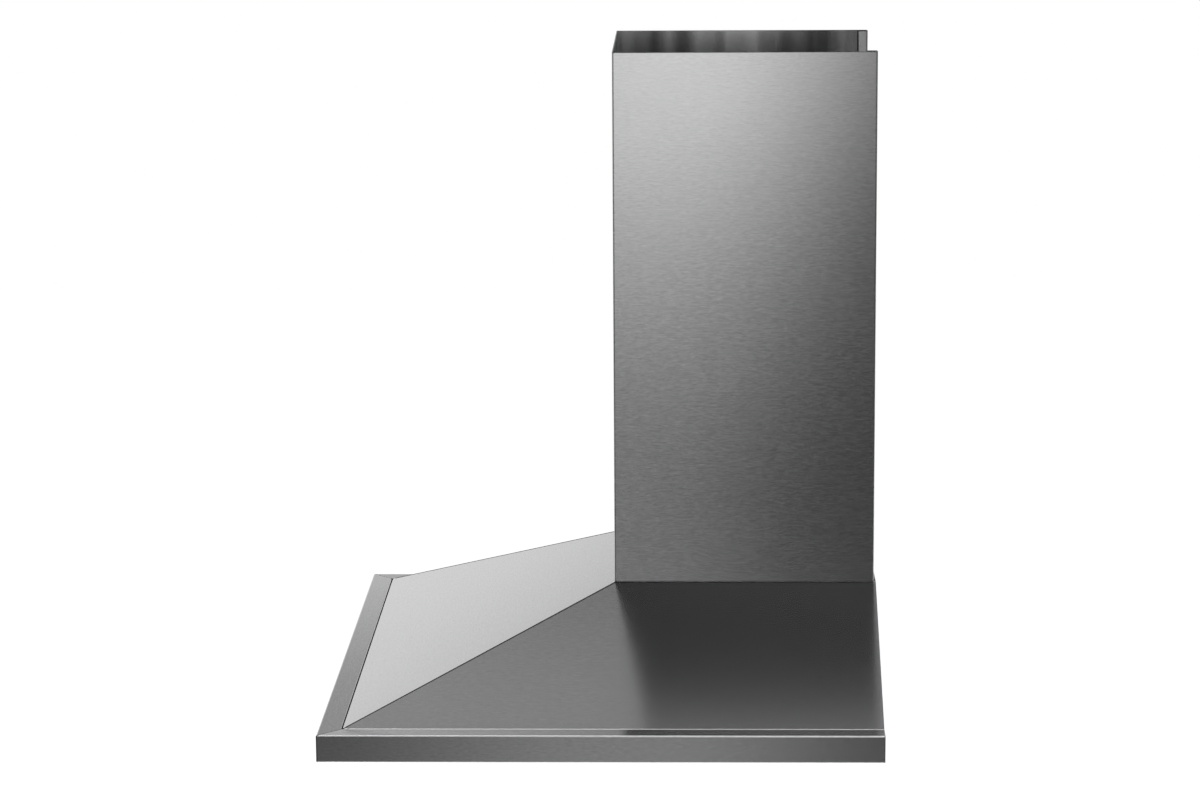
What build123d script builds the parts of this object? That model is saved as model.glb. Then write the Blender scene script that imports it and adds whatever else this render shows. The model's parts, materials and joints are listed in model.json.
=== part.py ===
from build123d import *
import math
import os

# A wall-mounted chimney range hood.
# X runs along the wall, the wall is the plane Y = 0, the front is at negative Y,
# and Z = 0 is the bottom of the rim. All sizes are in millimetres.

# ---------------------------------------------------------------- driving sizes

# Canopy shell
canopy_width = 600.0
canopy_depth = 500.0
band_height = 24.5
ledge_width = 21.4
canopy_rise = 91.5
sheet = 0.8
inside_bend = 0.5
hem_width = 12.0
tuck_depth = 8.0
neck_height = 14.0
corner_relief = 1.4
seam_gap = 0.4
rim_seam = 0.9
fit_gap = 0.3
past = 1.0  # how far a cut runs beyond what it cuts

# Chimney covers
chimney_width = 212.0
chimney_depth = 239.0
chimney_height = 489.0
wall_gap = 2.0
return_width = 12.0
lip_depth = 9.0
slide_gap = 0.7
upper_cover_inset = 28.0
strap_height = 40.0
strap_drop = 20.0
vent_count = 8
vent_pitch = 11.0
vent_width = 4.5
vent_length = 120.0
vent_drop = 80.0
bracket_sheet = 1.2
bracket_foot = 22.0

# Wall plate
wall_hole_radius = 4.0
wall_hole_spacing_x = 260.0
wall_hole_spacing_z = 44.0
wall_hole_height = 58.0

# Underside and filters
pan_height = 6.0
pan_flange_height = 7.0
filter_height = 10.0
filter_lip = 10.0
filter_side_gap = 0.8
filter_front_gap = 1.0
filter_rear_gap = 2.2
filter_setback = 60.0
filter_edge_distance = 46.4
filter_lamp_gap = 20.0
mullion_width = 24.0
filter_pin_radius = 2.0
filter_pin_inset = 3.5
filter_pin_height = 3.5
pin_play = 0.08

# Baffles
baffle_pitch = 26.0
baffle_width = 18.0
baffle_height = 4.0
baffle_flare = 2.5
baffle_sheet = 0.6
baffle_lap = 6.0

# Filter latch
latch_width = 40.0
latch_length = 24.0
latch_sheet = 2.0
latch_reach = 4.5
latch_travel = 5.0
latch_tab_width = 20.0
latch_tab_length = 2.4
latch_tab_drop = 3.4
latch_tab_setback = 10.0
latch_play = 0.6

# Controls
button_count = 5
button_pitch = 20.0
button_radius = 4.5
button_proud = 2.0
button_travel = 1.5
button_edge = 0.6
button_guide = 5.0
button_stem_length = 3.0
button_stem_radius = 2.0
switch_height = 11.5
switch_depth = 12.0
board_sheet = 1.6
board_overhang = 4.0

# Lamps
lamp_edge_distance = 130.0
lamp_setback = 66.0
lamp_hole_radius = 29.0
lamp_flange = 5.0
lamp_bezel_sheet = 1.2
lamp_spigot_height = 7.0
lamp_spigot_wall = 2.4
lamp_lens_sheet = 1.6
lamp_body_height = 12.0
lamp_fin_count = 7
lamp_fin_slot = 3.4
lamp_fin_depth = 7.0

# Lamp supply
driver_length = 120.0
driver_depth = 36.0
driver_height = 16.0
driver_step_length = 16.0
driver_step_depth = 5.0

# Blower deck
deck_sheet = 1.2
deck_lift = 2.0
deck_flange_height = 10.0
intake_edge = 6.0
deck_screw_inset = 36.0
deck_screw_box_gap = 12.0

# Blower housing
impeller_radius = 70.0
impeller_width = 104.0
tongue_gap = 7.0
tongue_radius = 5.0
spiral_step = 10.0
scroll_width = 112.0
scroll_flange = 3.0
scroll_clearance = 2.0
outlet_rise = 100.0
blower_setback = 140.0
foot_half_length = 60.0
foot_width = 12.0

# Inlet rings
inlet_radius = 54.0
inlet_sheet = 1.2
inlet_bend = 4.0
inlet_flange = 12.0
inlet_throat = 8.0

# Impeller
blade_count = 36
blade_root_radius = 58.0
blade_sheet = 0.8
blade_sweep_degrees = 8.0
blade_hollow_degrees = 3.6
end_ring_width = 3.0
end_ring_lap = 0.8
disc_sheet = 1.6
hub_radius = 12.0
hub_length = 22.0
hub_motor_side = 7.3

# Motor
motor_radius = 40.0
motor_length = 42.0
motor_cap_radius = 34.0
motor_cap_length = 7.0
motor_vent_count = 12
motor_vent_width = 7.0
motor_vent_depth = 3.0
motor_nose_radius = 14.0
motor_nose_length = 5.0
motor_gap = 4.0
shaft_radius = 4.0
shaft_play = 0.05
shaft_overhang = 3.0
arm_count = 3
arm_width = 14.0
arm_reach = 72.5
arm_sheet = 1.5
arm_foot = 10.0
arm_ring_radius = 28.0

# Duct outlet
duct_radius = 74.5
duct_wall = 2.0
collar_height = 45.0
collar_flange = 9.0
duct_slip = 1.4
transition_height = 35.0
transition_wall = 1.2
collar_setback = 110.0
stop_height = 9.0
stop_width = 2.5
flap_sheet = 1.2
flap_gap = 0.8
damper_pin_radius = 1.5
knuckle_radius = 3.0
knuckle_length = 12.0
knuckle_gap = 0.4
knuckle_reach = 40.0

# Mains side
box_width = 38.0
box_length = 76.0
box_height = 40.0
box_wall = 2.0
box_front_gap = 5.6
lid_height = 3.0
gland_bore = 4.5
gland_radius = 8.0
gland_height = 14.0
gland_nut_radius = 10.0
gland_nut_height = 5.0
gland_setback = 12.0
terminal_count = 4
terminal_pitch = 10.0
terminal_width = 16.0
terminal_height = 14.0
terminal_groove = 1.5
capacitor_radius = 15.0
capacitor_height = 48.0
capacitor_setback = 195.0
capacitor_edge = 1.5
clip_height = 12.0
clip_sheet = 1.0
clip_level = 14.0

# Fasteners
screw_radius = 1.9
screw_head_radius = 3.5
screw_head_height = 1.8
screw_play = 0.2

# ---------------------------------------------------------------- shared places

half_width = canopy_width / 2
front = -canopy_depth
ledge_x = half_width - ledge_width
ledge_y = front + ledge_width
canopy_top = band_height + canopy_rise

chimney_half = chimney_width / 2
chimney_front = -(wall_gap + chimney_depth)
chimney_rear = -wall_gap
cover_bottom = canopy_top + fit_gap
chimney_top = canopy_top + chimney_height

neck_x = chimney_half - sheet - fit_gap
neck_y = chimney_front + sheet + fit_gap
neck_top = canopy_top + neck_height
neck_rear = chimney_rear - sheet - inside_bend - fit_gap
deck_rear = chimney_rear - lip_depth - fit_gap

plate_x = half_width - sheet - fit_gap
plate_front = -sheet

pan_x = half_width - sheet - inside_bend
pan_front = front + sheet + inside_bend
pan_rear = plate_front - fit_gap
pan_top = pan_height + sheet

lamp_x = half_width - lamp_edge_distance
lamp_y = front + lamp_setback

filter_width = half_width - filter_edge_distance - mullion_width / 2 - 2 * filter_side_gap
filter_x = mullion_width / 2 + filter_side_gap + filter_width / 2
filter_rear = -filter_setback
filter_front = lamp_y + lamp_hole_radius + lamp_flange + filter_lamp_gap
filter_top = pan_height + filter_height
latch_bottom = pan_top + fit_gap
latch_rear = filter_front - latch_reach + latch_length
baffle_front = latch_rear + latch_travel + latch_play
filter_front_rail = baffle_front + baffle_lap - filter_front
filter_pin_y = filter_rear - filter_pin_inset
filter_pin_z = pan_height + filter_pin_height
opening_front = filter_front - filter_front_gap
opening_rear = filter_rear + filter_rear_gap

deck_bottom = canopy_top + deck_lift
deck_top = deck_bottom + deck_sheet
deck_x = neck_x - sheet - fit_gap
deck_front = neck_y + sheet + fit_gap

half_scroll = scroll_width / 2
spiral_start_radius = impeller_radius + tongue_gap + spiral_step / 2
spiral_bottom = spiral_start_radius + 1.5 * spiral_step
blower_y = -blower_setback
blower_z = deck_top + scroll_clearance + sheet + spiral_bottom
outlet_level = blower_z + outlet_rise
transition_top = outlet_level + transition_height
collar_y = -collar_setback
stop_top = transition_top + stop_height
damper_z = stop_top + fit_gap + knuckle_radius

upper_half = chimney_half - sheet - slide_gap
upper_front = chimney_front + sheet + slide_gap
upper_rear = chimney_rear - lip_depth - slide_gap
upper_bottom = neck_top + fit_gap
upper_top = chimney_top - upper_cover_inset

button_z = pan_top + fit_gap + switch_height / 2
band_back = front + sheet

box_x = -(deck_x - deck_sheet - fit_gap - box_width / 2)
box_front = deck_front + deck_sheet + box_front_gap
box_rear = box_front + box_length
box_top = deck_top + box_height
capacitor_x = deck_x - deck_sheet - fit_gap - clip_sheet - fit_gap - capacitor_radius

# ---------------------------------------------------------------- helpers


def shifted(points, distance):
    """An open outline moved sideways, to the left of its direction for a positive distance."""
    corners = [Vector(*point) for point in points]
    sides = [(b - a).normalized().rotate(Axis.Z, 90) for a, b in zip(corners, corners[1:])]
    moved = [corners[0] + sides[0] * distance]
    for corner, before, after in zip(corners[1:], sides, sides[1:]):
        moved.append(corner + (before + after) * (distance / (1 + before.dot(after))))
    moved.append(corners[-1] + sides[-1] * distance)
    return [(point.X, point.Y) for point in moved]


def sheet_section(points, thickness, bend=inside_bend):
    """The cut face of a folded sheet.

    The outline is one face of it, and a positive thickness lies to the outline's left.
    """
    legs = [Vector(*b) - Vector(*a) for a, b in zip(points, points[1:])]
    turns_left = [a.cross(b).Z > 0 for a, b in zip(legs, legs[1:])]
    wide = bend + abs(thickness)
    near = [wide if left == (thickness > 0) else bend for left in turns_left]
    far = [bend if left == (thickness > 0) else wide for left in turns_left]
    other = shifted(points, thickness)
    outline = [
        FilletPolyline(*points, radius=near),
        FilletPolyline(*other, radius=far),
        Line(points[0], other[0]),
        Line(points[-1], other[-1]),
    ]
    return make_face([edge for line in outline for edge in line.edges()])


def region(points):
    """A flat face inside a closed outline of straight runs."""
    return make_face(Polyline(*points, close=True).edges())


def block(x_range, y_range, z_range):
    """A block between two places on each axis."""
    low = Vector(x_range[0], y_range[0], z_range[0])
    high = Vector(x_range[1], y_range[1], z_range[1])
    size = high - low
    return Pos(*((low + high) * 0.5)) * Box(size.X, size.Y, size.Z)


def rod(start, direction, radius, length):
    """A round bar from a start point."""
    return extrude(Plane(origin=start, z_dir=direction) * Circle(radius), amount=length)


def screw(start, direction, grip):
    """A pan-head screw with its head against start, reaching along direction through grip."""
    along = Vector(*direction)
    under_head = Vector(*start)
    head = rod(under_head - along * screw_head_height, direction, screw_head_radius, screw_head_height)
    return head + rod(under_head, direction, screw_radius, grip)


def along_blower(section):
    """Puts a section drawn as (along X, away from the axis) on the blower's axis."""
    return Plane(origin=(0, blower_y, blower_z), x_dir=(1, 0, 0), z_dir=(0, -1, 0)) * section


blower_axis = Axis((0, blower_y, blower_z), (1, 0, 0))
blower_plane = Plane(origin=(0, blower_y, blower_z), x_dir=(0, 1, 0), z_dir=(1, 0, 0))


def across_blower(section, low, high):
    """A section drawn as (Y, Z) about the blower's axis, from one place along X to another."""
    return extrude(blower_plane.offset(low) * section, amount=high - low)


# ---------------------------------------------------------------- canopy shell

mitre_line = [
    (half_width + ledge_width, front - ledge_width),
    (ledge_x, ledge_y),
    (neck_x, neck_y),
    (neck_x - ledge_width, neck_y + ledge_width),
]


def in_front_of_mitre(gap):
    """The space in front of both mitres and ridges. A negative gap draws its edge in towards the front."""
    right = shifted(mitre_line, -gap)
    left = [(-x, y) for x, y in reversed(right)]
    return extrude(region(right + left), amount=2 * neck_top, both=True)


def corner_reliefs():
    """The round holes where the ledges, the side slopes and the front slope meet."""
    low = band_height - corner_relief
    length = 3 * corner_relief
    return [rod((x, ledge_y, low), (0, 0, 1), corner_relief, length) for x in (-ledge_x, ledge_x)]


def canopy_side():
    """The right side sheet: hem, band, ledge, slope and neck flange, folded from one piece."""
    outline = [
        (half_width - hem_width, 0),
        (half_width, 0),
        (half_width, band_height),
        (ledge_x, band_height),
        (neck_x, canopy_top),
        (neck_x, neck_top),
    ]
    side = extrude(Plane.XZ * sheet_section(outline, sheet), amount=canopy_depth)
    side -= in_front_of_mitre(seam_gap / 2)
    side -= corner_reliefs()
    side -= block(
        (half_width - hem_width - past, half_width - sheet - fit_gap / 2),
        (plate_front - fit_gap, past),
        (-past, sheet + inside_bend),
    )
    side -= block((neck_x - sheet - past, neck_x + past), (neck_rear, past), (canopy_top, neck_top + past))
    for y, z in deck_screw_places():
        start = (neck_x - sheet - past, y, z)
        side -= rod(start, (1, 0, 0), screw_radius + screw_play, sheet + 2 * past)
    return side


def deck_screw_places():
    """Y and Z of the screws through each side of the neck, one of them just behind the junction box."""
    level = deck_top + deck_flange_height / 2
    return [(deck_rear - deck_screw_inset, level), (box_rear + deck_screw_box_gap, level)]


def canopy_front():
    """The sloped front sheet, tucked behind the rim at its foot and flanged up inside the chimney."""
    outline = [
        (ledge_y, band_height - tuck_depth),
        (ledge_y, band_height),
        (neck_y, canopy_top),
        (neck_y, neck_top),
    ]
    panel = extrude(Plane.YZ * sheet_section(outline, -sheet), amount=half_width, both=True)
    panel &= in_front_of_mitre(-seam_gap / 2)
    return panel - corner_reliefs()


def button_places():
    middle = (button_count - 1) / 2
    return [(index - middle) * button_pitch for index in range(button_count)]


def rim():
    """The front hem, band and ledge, with the holes of the push buttons."""
    outline = [
        (front + hem_width, 0),
        (front, 0),
        (front, band_height),
        (ledge_y - rim_seam, band_height),
        (ledge_y - rim_seam, band_height - tuck_depth),
    ]
    section = Plane.YZ * sheet_section(outline, -sheet)
    strip = extrude(section, amount=half_width, both=True) & in_front_of_mitre(-seam_gap / 2)
    for x in button_places():
        strip -= rod((x, front - past, button_z), (0, 1, 0), button_radius + fit_gap, sheet + 2 * past)
    return strip - corner_reliefs()


def wall_plate():
    """The rear sheet against the wall, cut to the canopy's outline, with four fixing holes."""
    plate = block((-plate_x, plate_x), (plate_front, 0), (0, canopy_top))
    slope = math.atan2(canopy_rise, ledge_x - neck_x)
    inset = (sheet + fit_gap) / math.sin(slope)
    ledge_under = band_height - sheet - fit_gap
    top_x = neck_x - sheet - fit_gap
    per_height = (ledge_x - neck_x) / canopy_rise
    right = [
        (plate_x, -past),
        (plate_x, ledge_under),
        (ledge_x - inset + (band_height - ledge_under) * per_height, ledge_under),
        (top_x, canopy_top - (top_x - (neck_x - inset)) / per_height),
        (top_x, canopy_top + past),
    ]
    left = [(-x, z) for x, z in reversed(right)]
    plate &= extrude(Plane.XZ * region(right + left), amount=canopy_depth, both=True)
    for side in (-1, 1):
        for end in (-1, 1):
            x = side * wall_hole_spacing_x / 2
            z = wall_hole_height + end * wall_hole_spacing_z / 2
            plate -= rod((x, plate_front - past, z), (0, 1, 0), wall_hole_radius, sheet + 2 * past)
    return plate


# ---------------------------------------------------------------- chimney covers


def cover_section(half, front_y, rear_y):
    """A U open at the wall, with an inward return and a forward lip on each rear edge."""
    right = [
        (half - return_width, rear_y - lip_depth),
        (half - return_width, rear_y),
        (half, rear_y),
        (half, front_y),
    ]
    left = [(-x, y) for x, y in reversed(right)]
    return sheet_section(right + left, -sheet)


def lower_cover():
    section = cover_section(chimney_half, chimney_front, chimney_rear)
    return Pos(0, 0, cover_bottom) * extrude(section, amount=chimney_top - cover_bottom)


def upper_cover():
    """The telescopic cover, with a column of vent slots near the top of both sides."""
    section = cover_section(upper_half, upper_front, upper_rear)
    cover = Pos(0, 0, upper_bottom) * extrude(section, amount=upper_top - upper_bottom)
    middle = (upper_front + upper_rear) / 2
    for index in range(vent_count):
        top = upper_top - vent_drop - index * vent_pitch
        cover -= block(
            (-upper_half - past, upper_half + past),
            (middle - vent_length / 2, middle + vent_length / 2),
            (top - vent_width, top),
        )
    return cover


def cover_tie(half, rear_y, depth):
    """The section of a channel between the lips of a cover, with its tabs along them."""
    inner = half - return_width - fit_gap
    outline = [(inner, rear_y - depth), (inner, rear_y), (-inner, rear_y), (-inner, rear_y - depth)]
    return sheet_section(outline, bracket_sheet)


def upper_strap():
    section = cover_tie(upper_half, upper_rear - sheet, lip_depth - sheet)
    return Pos(0, 0, upper_top - strap_drop - strap_height) * extrude(section, amount=strap_height)


def lower_bracket():
    """The channel between the lips of the lower cover, with a foot on the deck."""
    rear_y = chimney_rear - sheet
    section = cover_tie(chimney_half, rear_y, lip_depth - sheet)
    channel = Pos(0, 0, deck_top) * extrude(section, amount=strap_height)
    foot_x = chimney_half - 2 * return_width
    foot = block((-foot_x, foot_x), (rear_y - bracket_foot, rear_y), (deck_top, deck_top + bracket_sheet))
    return channel + foot


# ---------------------------------------------------------------- underside


def lamp_places():
    return [(-lamp_x, lamp_y), (lamp_x, lamp_y)]


def pan():
    """The underside tray: a floor over a skirt that stands on the hems, with filter and lamp openings."""
    floor = block((-pan_x, pan_x), (pan_front, pan_rear), (pan_height, pan_top))
    outer = block((-pan_x, pan_x), (pan_front, pan_rear), (sheet, pan_height))
    inner = block(
        (-pan_x + sheet, pan_x - sheet),
        (pan_front + sheet, pan_rear - sheet),
        (sheet - past, pan_height + past),
    )
    tray = floor + (outer - inner)
    for side in (-1, 1):
        x = side * filter_x
        opening_half = filter_width / 2 + filter_side_gap
        collar = block(
            (x - opening_half - sheet, x + opening_half + sheet),
            (opening_front - sheet, opening_rear + sheet),
            (pan_top, pan_top + pan_flange_height),
        )
        tray += collar
        tray -= block(
            (x - opening_half, x + opening_half),
            (opening_front, opening_rear),
            (pan_height - past, pan_top + pan_flange_height + past),
        )
        latch_half = latch_width / 2 + latch_play
        tray -= block(
            (x - latch_half, x + latch_half),
            (opening_front - sheet - past, opening_front + past),
            (pan_top, pan_top + pan_flange_height + past),
        )
        bore_half = opening_half + sheet + past
        pin_bore = (x - bore_half, filter_pin_y, filter_pin_z)
        tray -= rod(pin_bore, (1, 0, 0), filter_pin_radius + pin_play, 2 * bore_half)
    for x, y in lamp_places():
        tray -= rod((x, y, pan_height - past), (0, 0, 1), lamp_hole_radius, sheet + 2 * past)
    return tray


def filter_frame():
    """The frame of the right filter: a channel open inwards all round, with pins at the rear."""
    low = (filter_x - filter_width / 2, filter_front, pan_height)
    high = (filter_x + filter_width / 2, filter_rear, filter_top)
    shell = block((low[0], high[0]), (low[1], high[1]), (low[2], high[2]))
    shell -= block(*[(start + sheet, end - sheet) for start, end in zip(low, high)])
    shell -= block(
        (low[0] + filter_lip, high[0] - filter_lip),
        (low[1] + filter_front_rail, high[1] - filter_lip),
        (low[2] - past, high[2] + past),
    )
    latch_half = latch_width / 2 + latch_play
    shell -= block(
        (filter_x - latch_half, filter_x + latch_half),
        (filter_front - past, filter_front + sheet + past),
        (latch_bottom - fit_gap, latch_bottom + latch_sheet + fit_gap),
    )
    slot_half = latch_tab_width / 2 + latch_play
    tab_front = filter_front + latch_tab_setback
    shell -= block(
        (filter_x - slot_half, filter_x + slot_half),
        (tab_front - latch_play, tab_front + latch_tab_length + latch_travel + latch_play),
        (pan_height - past, pan_top + fit_gap / 2),
    )
    pin_length = filter_side_gap + 2 * sheet
    for x, way in ((low[0] - pin_length, 1), (high[0] + pin_length, -1)):
        shell += rod((x, filter_pin_y, filter_pin_z), (way, 0, 0), filter_pin_radius, pin_length + sheet)
    return shell


def filter_latch():
    """The sliding tongue of the right filter, with the finger tab below it."""
    tongue_front = filter_front - latch_reach
    plate = block(
        (filter_x - latch_width / 2, filter_x + latch_width / 2),
        (tongue_front, tongue_front + latch_length),
        (latch_bottom, latch_bottom + latch_sheet),
    )
    tab_front = filter_front + latch_tab_setback
    tab = block(
        (filter_x - latch_tab_width / 2, filter_x + latch_tab_width / 2),
        (tab_front, tab_front + latch_tab_length),
        (latch_bottom - latch_tab_drop, latch_bottom + latch_sheet),
    )
    return plate + tab


def baffle_section(open_up):
    """A trough with flared sides, drawn about the middle of its floor."""
    half = baffle_width / 2
    up = 1 if open_up else -1
    outline = [
        (-half, up * baffle_height),
        (-half + baffle_flare, 0),
        (half - baffle_flare, 0),
        (half, up * baffle_height),
    ]
    return region(outline + shifted(outline, up * baffle_sheet)[::-1])


def baffles():
    """Two layers of troughs, the upper ones turned over the gaps between the lower ones."""
    high_y = filter_rear - sheet
    room = filter_width - 2 * sheet - baffle_width
    lower_count = int(room / baffle_pitch) + 1
    solids = []
    for count, open_up, level in (
        (lower_count, True, pan_height + sheet),
        (lower_count - 1, False, filter_top - sheet),
    ):
        for index in range(count):
            x = filter_x + (index - (count - 1) / 2) * baffle_pitch
            trough = extrude(Plane.XZ * baffle_section(open_up), amount=high_y - baffle_front)
            solids.append(Pos(x, high_y, level) * trough)
    return Compound(children=solids)


def lamp_bezel(x, y):
    """A flanged ring under the pan, with a spigot up through its hole."""
    outer = lamp_hole_radius + lamp_flange
    spigot = lamp_hole_radius - fit_gap
    throat = spigot - lamp_spigot_wall
    ring = rod((x, y, pan_height - lamp_bezel_sheet), (0, 0, 1), outer, lamp_bezel_sheet)
    ring += rod((x, y, pan_height), (0, 0, 1), spigot, lamp_spigot_height)
    return ring - rod((x, y, 0), (0, 0, 1), throat, pan_height + lamp_spigot_height + past)


def lamp_lens(x, y):
    radius = lamp_hole_radius - 2 * fit_gap - lamp_spigot_wall
    return rod((x, y, pan_height - lamp_bezel_sheet / 2), (0, 0, 1), radius, lamp_lens_sheet)


def lamp_body(x, y):
    """The finned heat sink that stands on the spigot."""
    radius = lamp_hole_radius - fit_gap
    base = pan_height + lamp_spigot_height
    body = rod((x, y, base), (0, 0, 1), radius, lamp_body_height)
    pitch = 2 * radius / (lamp_fin_count + 1)
    for index in range(lamp_fin_count):
        middle = x + (index - (lamp_fin_count - 1) / 2) * pitch
        body -= block(
            (middle - lamp_fin_slot / 2, middle + lamp_fin_slot / 2),
            (y - radius - past, y + radius + past),
            (base + lamp_body_height - lamp_fin_depth, base + lamp_body_height + past),
        )
    return body


def driver():
    """The lamp supply, behind the control board, with a lower cover over the terminals at each end."""
    face = ledge_y + sheet + fit_gap
    half = driver_length / 2
    top = pan_top + driver_height
    depth = (face, face + driver_depth)
    case = block((-half, half), depth, (pan_top, top - driver_step_depth))
    raised = half - driver_step_length
    return case + block((-raised, raised), depth, (pan_top, top))


# ---------------------------------------------------------------- controls


def switches():
    """The switch housing behind the band, with a bore for each button's stem."""
    half = button_places()[-1] + button_pitch / 2
    housing = block(
        (-half, half), (band_back, band_back + switch_depth), (pan_top, pan_top + switch_height + fit_gap)
    )
    for x in button_places():
        mouth = (x, band_back - past, button_z)
        housing -= rod(mouth, (0, 1, 0), button_radius + fit_gap, button_guide + past)
        housing -= rod(mouth, (0, 1, 0), button_stem_radius + pin_play, switch_depth)
    return housing


def button(x):
    """A round cap through the band, on a stem that slides in the switch housing."""
    cap_back = band_back + button_guide - button_travel - fit_gap
    cap = rod((x, front - button_proud, button_z), (0, 1, 0), button_radius, cap_back - front + button_proud)
    edge = cap.edges().filter_by(GeomType.CIRCLE).sort_by(Axis.Y)[0]
    cap = chamfer(edge, button_edge)
    return cap + rod((x, cap_back, button_z), (0, 1, 0), button_stem_radius, button_stem_length)


def board():
    """The circuit board across the back of the switch housing."""
    half = button_places()[-1] + button_pitch / 2 + board_overhang
    face = band_back + switch_depth
    return block((-half, half), (face, face + board_sheet), (pan_top, pan_top + switch_height))


# ---------------------------------------------------------------- blower deck


def deck():
    """The plate across the neck, flanged up at three edges, with an intake each side of the blower."""
    plate = block((-deck_x, deck_x), (deck_front, deck_rear), (deck_bottom, deck_top))
    wall_top = deck_top + deck_flange_height
    inner = half_scroll + sheet + intake_edge
    outer = deck_x - deck_sheet - intake_edge
    intake_y = (box_rear + intake_edge, deck_rear - foot_width)
    for side in (-1, 1):
        edges = sorted((side * deck_x, side * (deck_x - deck_sheet)))
        plate += block(edges, (deck_front, deck_rear), (deck_bottom, wall_top))
        intake_x = sorted((side * inner, side * outer))
        plate -= block(intake_x, intake_y, (deck_bottom - past, deck_top + past))
    plate += block((-deck_x, deck_x), (deck_front, deck_front + deck_sheet), (deck_bottom, wall_top))
    for y, z in deck_screw_places():
        plate -= rod((-deck_x - past, y, z), (1, 0, 0), screw_radius + screw_play, 2 * (deck_x + past))
    for x, y in foot_screw_places():
        start = (x, y, deck_bottom - past)
        plate -= rod(start, (0, 0, 1), screw_radius + screw_play, deck_sheet + 2 * past)
    return plate


def deck_screws():
    """Screws from inside each side flange of the deck out through the neck."""
    solids = []
    for side in (-1, 1):
        for y, z in deck_screw_places():
            start = (side * (deck_x - deck_sheet), y, z)
            solids.append(screw(start, (side, 0, 0), deck_sheet + fit_gap + sheet))
    return Compound(children=solids)


def foot_screw_places():
    x = half_scroll + sheet - foot_width / 2
    y = foot_half_length - foot_width
    return [(side * x, blower_y + way * y) for side in (-1, 1) for way in (-1, 1)]


def blower_screws():
    """Screws up through the deck into the feet of the blower housing."""
    grip = deck_sheet + sheet
    return Compound(children=[screw((x, y, deck_bottom), (0, 0, 1), grip) for x, y in foot_screw_places()])


# ---------------------------------------------------------------- blower housing


def spiral_edges(proud):
    """The volute's outline from the outlet's inner wall round to its outer wall, moved outwards by proud.

    Three quarter arcs about the corners of a small square make the spiral, each larger by one step.
    """
    half_step = spiral_step / 2
    first = (-half_step, -half_step)
    second = (half_step, -half_step)
    third = (half_step, half_step)
    wall = -half_step + tongue_radius
    nose = (-half_step, -half_step + spiral_start_radius + tongue_radius)
    far_wall = half_step + spiral_start_radius + 2 * spiral_step
    return [
        Line((wall - proud, outlet_rise), (wall - proud, nose[1])),
        CenterArc(nose, tongue_radius - proud, 0, -90),
        CenterArc(first, spiral_start_radius + proud, 90, 90),
        CenterArc(second, spiral_start_radius + spiral_step + proud, 180, 90),
        CenterArc(third, spiral_start_radius + 2 * spiral_step + proud, 270, 90),
        Line((far_wall + proud, half_step), (far_wall + proud, outlet_rise)),
    ]


def outlet_walls():
    """Y of the outlet's two walls, counted from the blower's axis."""
    return -spiral_step / 2 + tongue_radius, spiral_step / 2 + spiral_start_radius + 2 * spiral_step


def wrap():
    """The spiral sheet round the impeller, open at the top."""
    inner = spiral_edges(0)
    outer = spiral_edges(sheet)
    caps = [Line(inner[0] @ 0, outer[0] @ 0), Line(inner[-1] @ 1, outer[-1] @ 1)]
    return across_blower(make_face([line.edge() for line in inner + outer + caps]), -half_scroll, half_scroll)


def scroll_plate():
    """The right side plate: the volute's outline with a margin, an inlet hole and a foot on the deck."""
    proud = sheet + scroll_flange
    half_step = spiral_step / 2
    wall, far_wall = outlet_walls()
    reach = spiral_start_radius + proud
    start = math.degrees(math.acos((wall - proud + half_step) / reach))
    top = -half_step + reach * math.sin(math.radians(start))
    edges = [
        Line((wall - proud, outlet_rise), (wall - proud, top)),
        CenterArc((-half_step, -half_step), reach, start, 180 - start),
        CenterArc((half_step, -half_step), reach + spiral_step, 180, 90),
        CenterArc((half_step, half_step), reach + 2 * spiral_step, 270, 90),
        Line((far_wall + proud, half_step), (far_wall + proud, outlet_rise)),
        Line((far_wall + proud, outlet_rise), (wall - proud, outlet_rise)),
    ]
    low = deck_top - blower_z
    outline = make_face([line.edge() for line in edges])
    outline += Pos(0, (low - half_step) / 2) * Rectangle(2 * foot_half_length, -half_step - low)
    outline &= Pos(0, (low + outlet_rise) / 2) * Rectangle(2 * (far_wall + proud), outlet_rise - low)
    outline -= Circle(inlet_radius + inlet_sheet + inlet_bend)
    plate = across_blower(outline, half_scroll, half_scroll + sheet)
    foot = block(
        (half_scroll + sheet - foot_width, half_scroll + sheet),
        (blower_y - foot_half_length, blower_y + foot_half_length),
        (deck_top, deck_top + sheet),
    )
    plate += foot
    for x, y in foot_screw_places():
        plate -= rod((x, y, deck_top - past), (0, 0, 1), screw_radius + screw_play, sheet + 2 * past)
    for y, z in arm_screw_places():
        start = (half_scroll - past, y, z)
        plate -= rod(start, (1, 0, 0), screw_radius + screw_play, sheet + 2 * past)
    return plate


def inlet_ring():
    """The right inlet: a flange on the side plate that turns in as a bell mouth."""
    face = half_scroll + sheet
    throat = inlet_radius
    outline = [
        (face + inlet_sheet, throat + inlet_bend + inlet_flange),
        (face + inlet_sheet, throat),
        (face - inlet_throat, throat),
    ]
    section = along_blower(sheet_section(outline, -inlet_sheet, inlet_bend))
    return revolve(section, axis=blower_axis)


def blade_section():
    """One forward-curved blade, drawn in the plane across the axis."""

    def at(radius, degrees):
        return (radius * math.cos(math.radians(degrees)), radius * math.sin(math.radians(degrees)))

    middle = (blade_root_radius + impeller_radius) / 2
    step = math.degrees(blade_sheet / middle)
    sweep = blade_sweep_degrees
    hollow = sweep / 2 - blade_hollow_degrees
    front_face = ThreePointArc(
        at(blade_root_radius, 0), at(middle, hollow), at(impeller_radius, sweep)
    )
    back_face = ThreePointArc(
        at(blade_root_radius, -step), at(middle, hollow - step), at(impeller_radius, sweep - step)
    )
    ends = [Line(front_face @ 0, back_face @ 0), Line(front_face @ 1, back_face @ 1)]
    return make_face([line.edge() for line in [front_face, back_face, *ends]])


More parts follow.
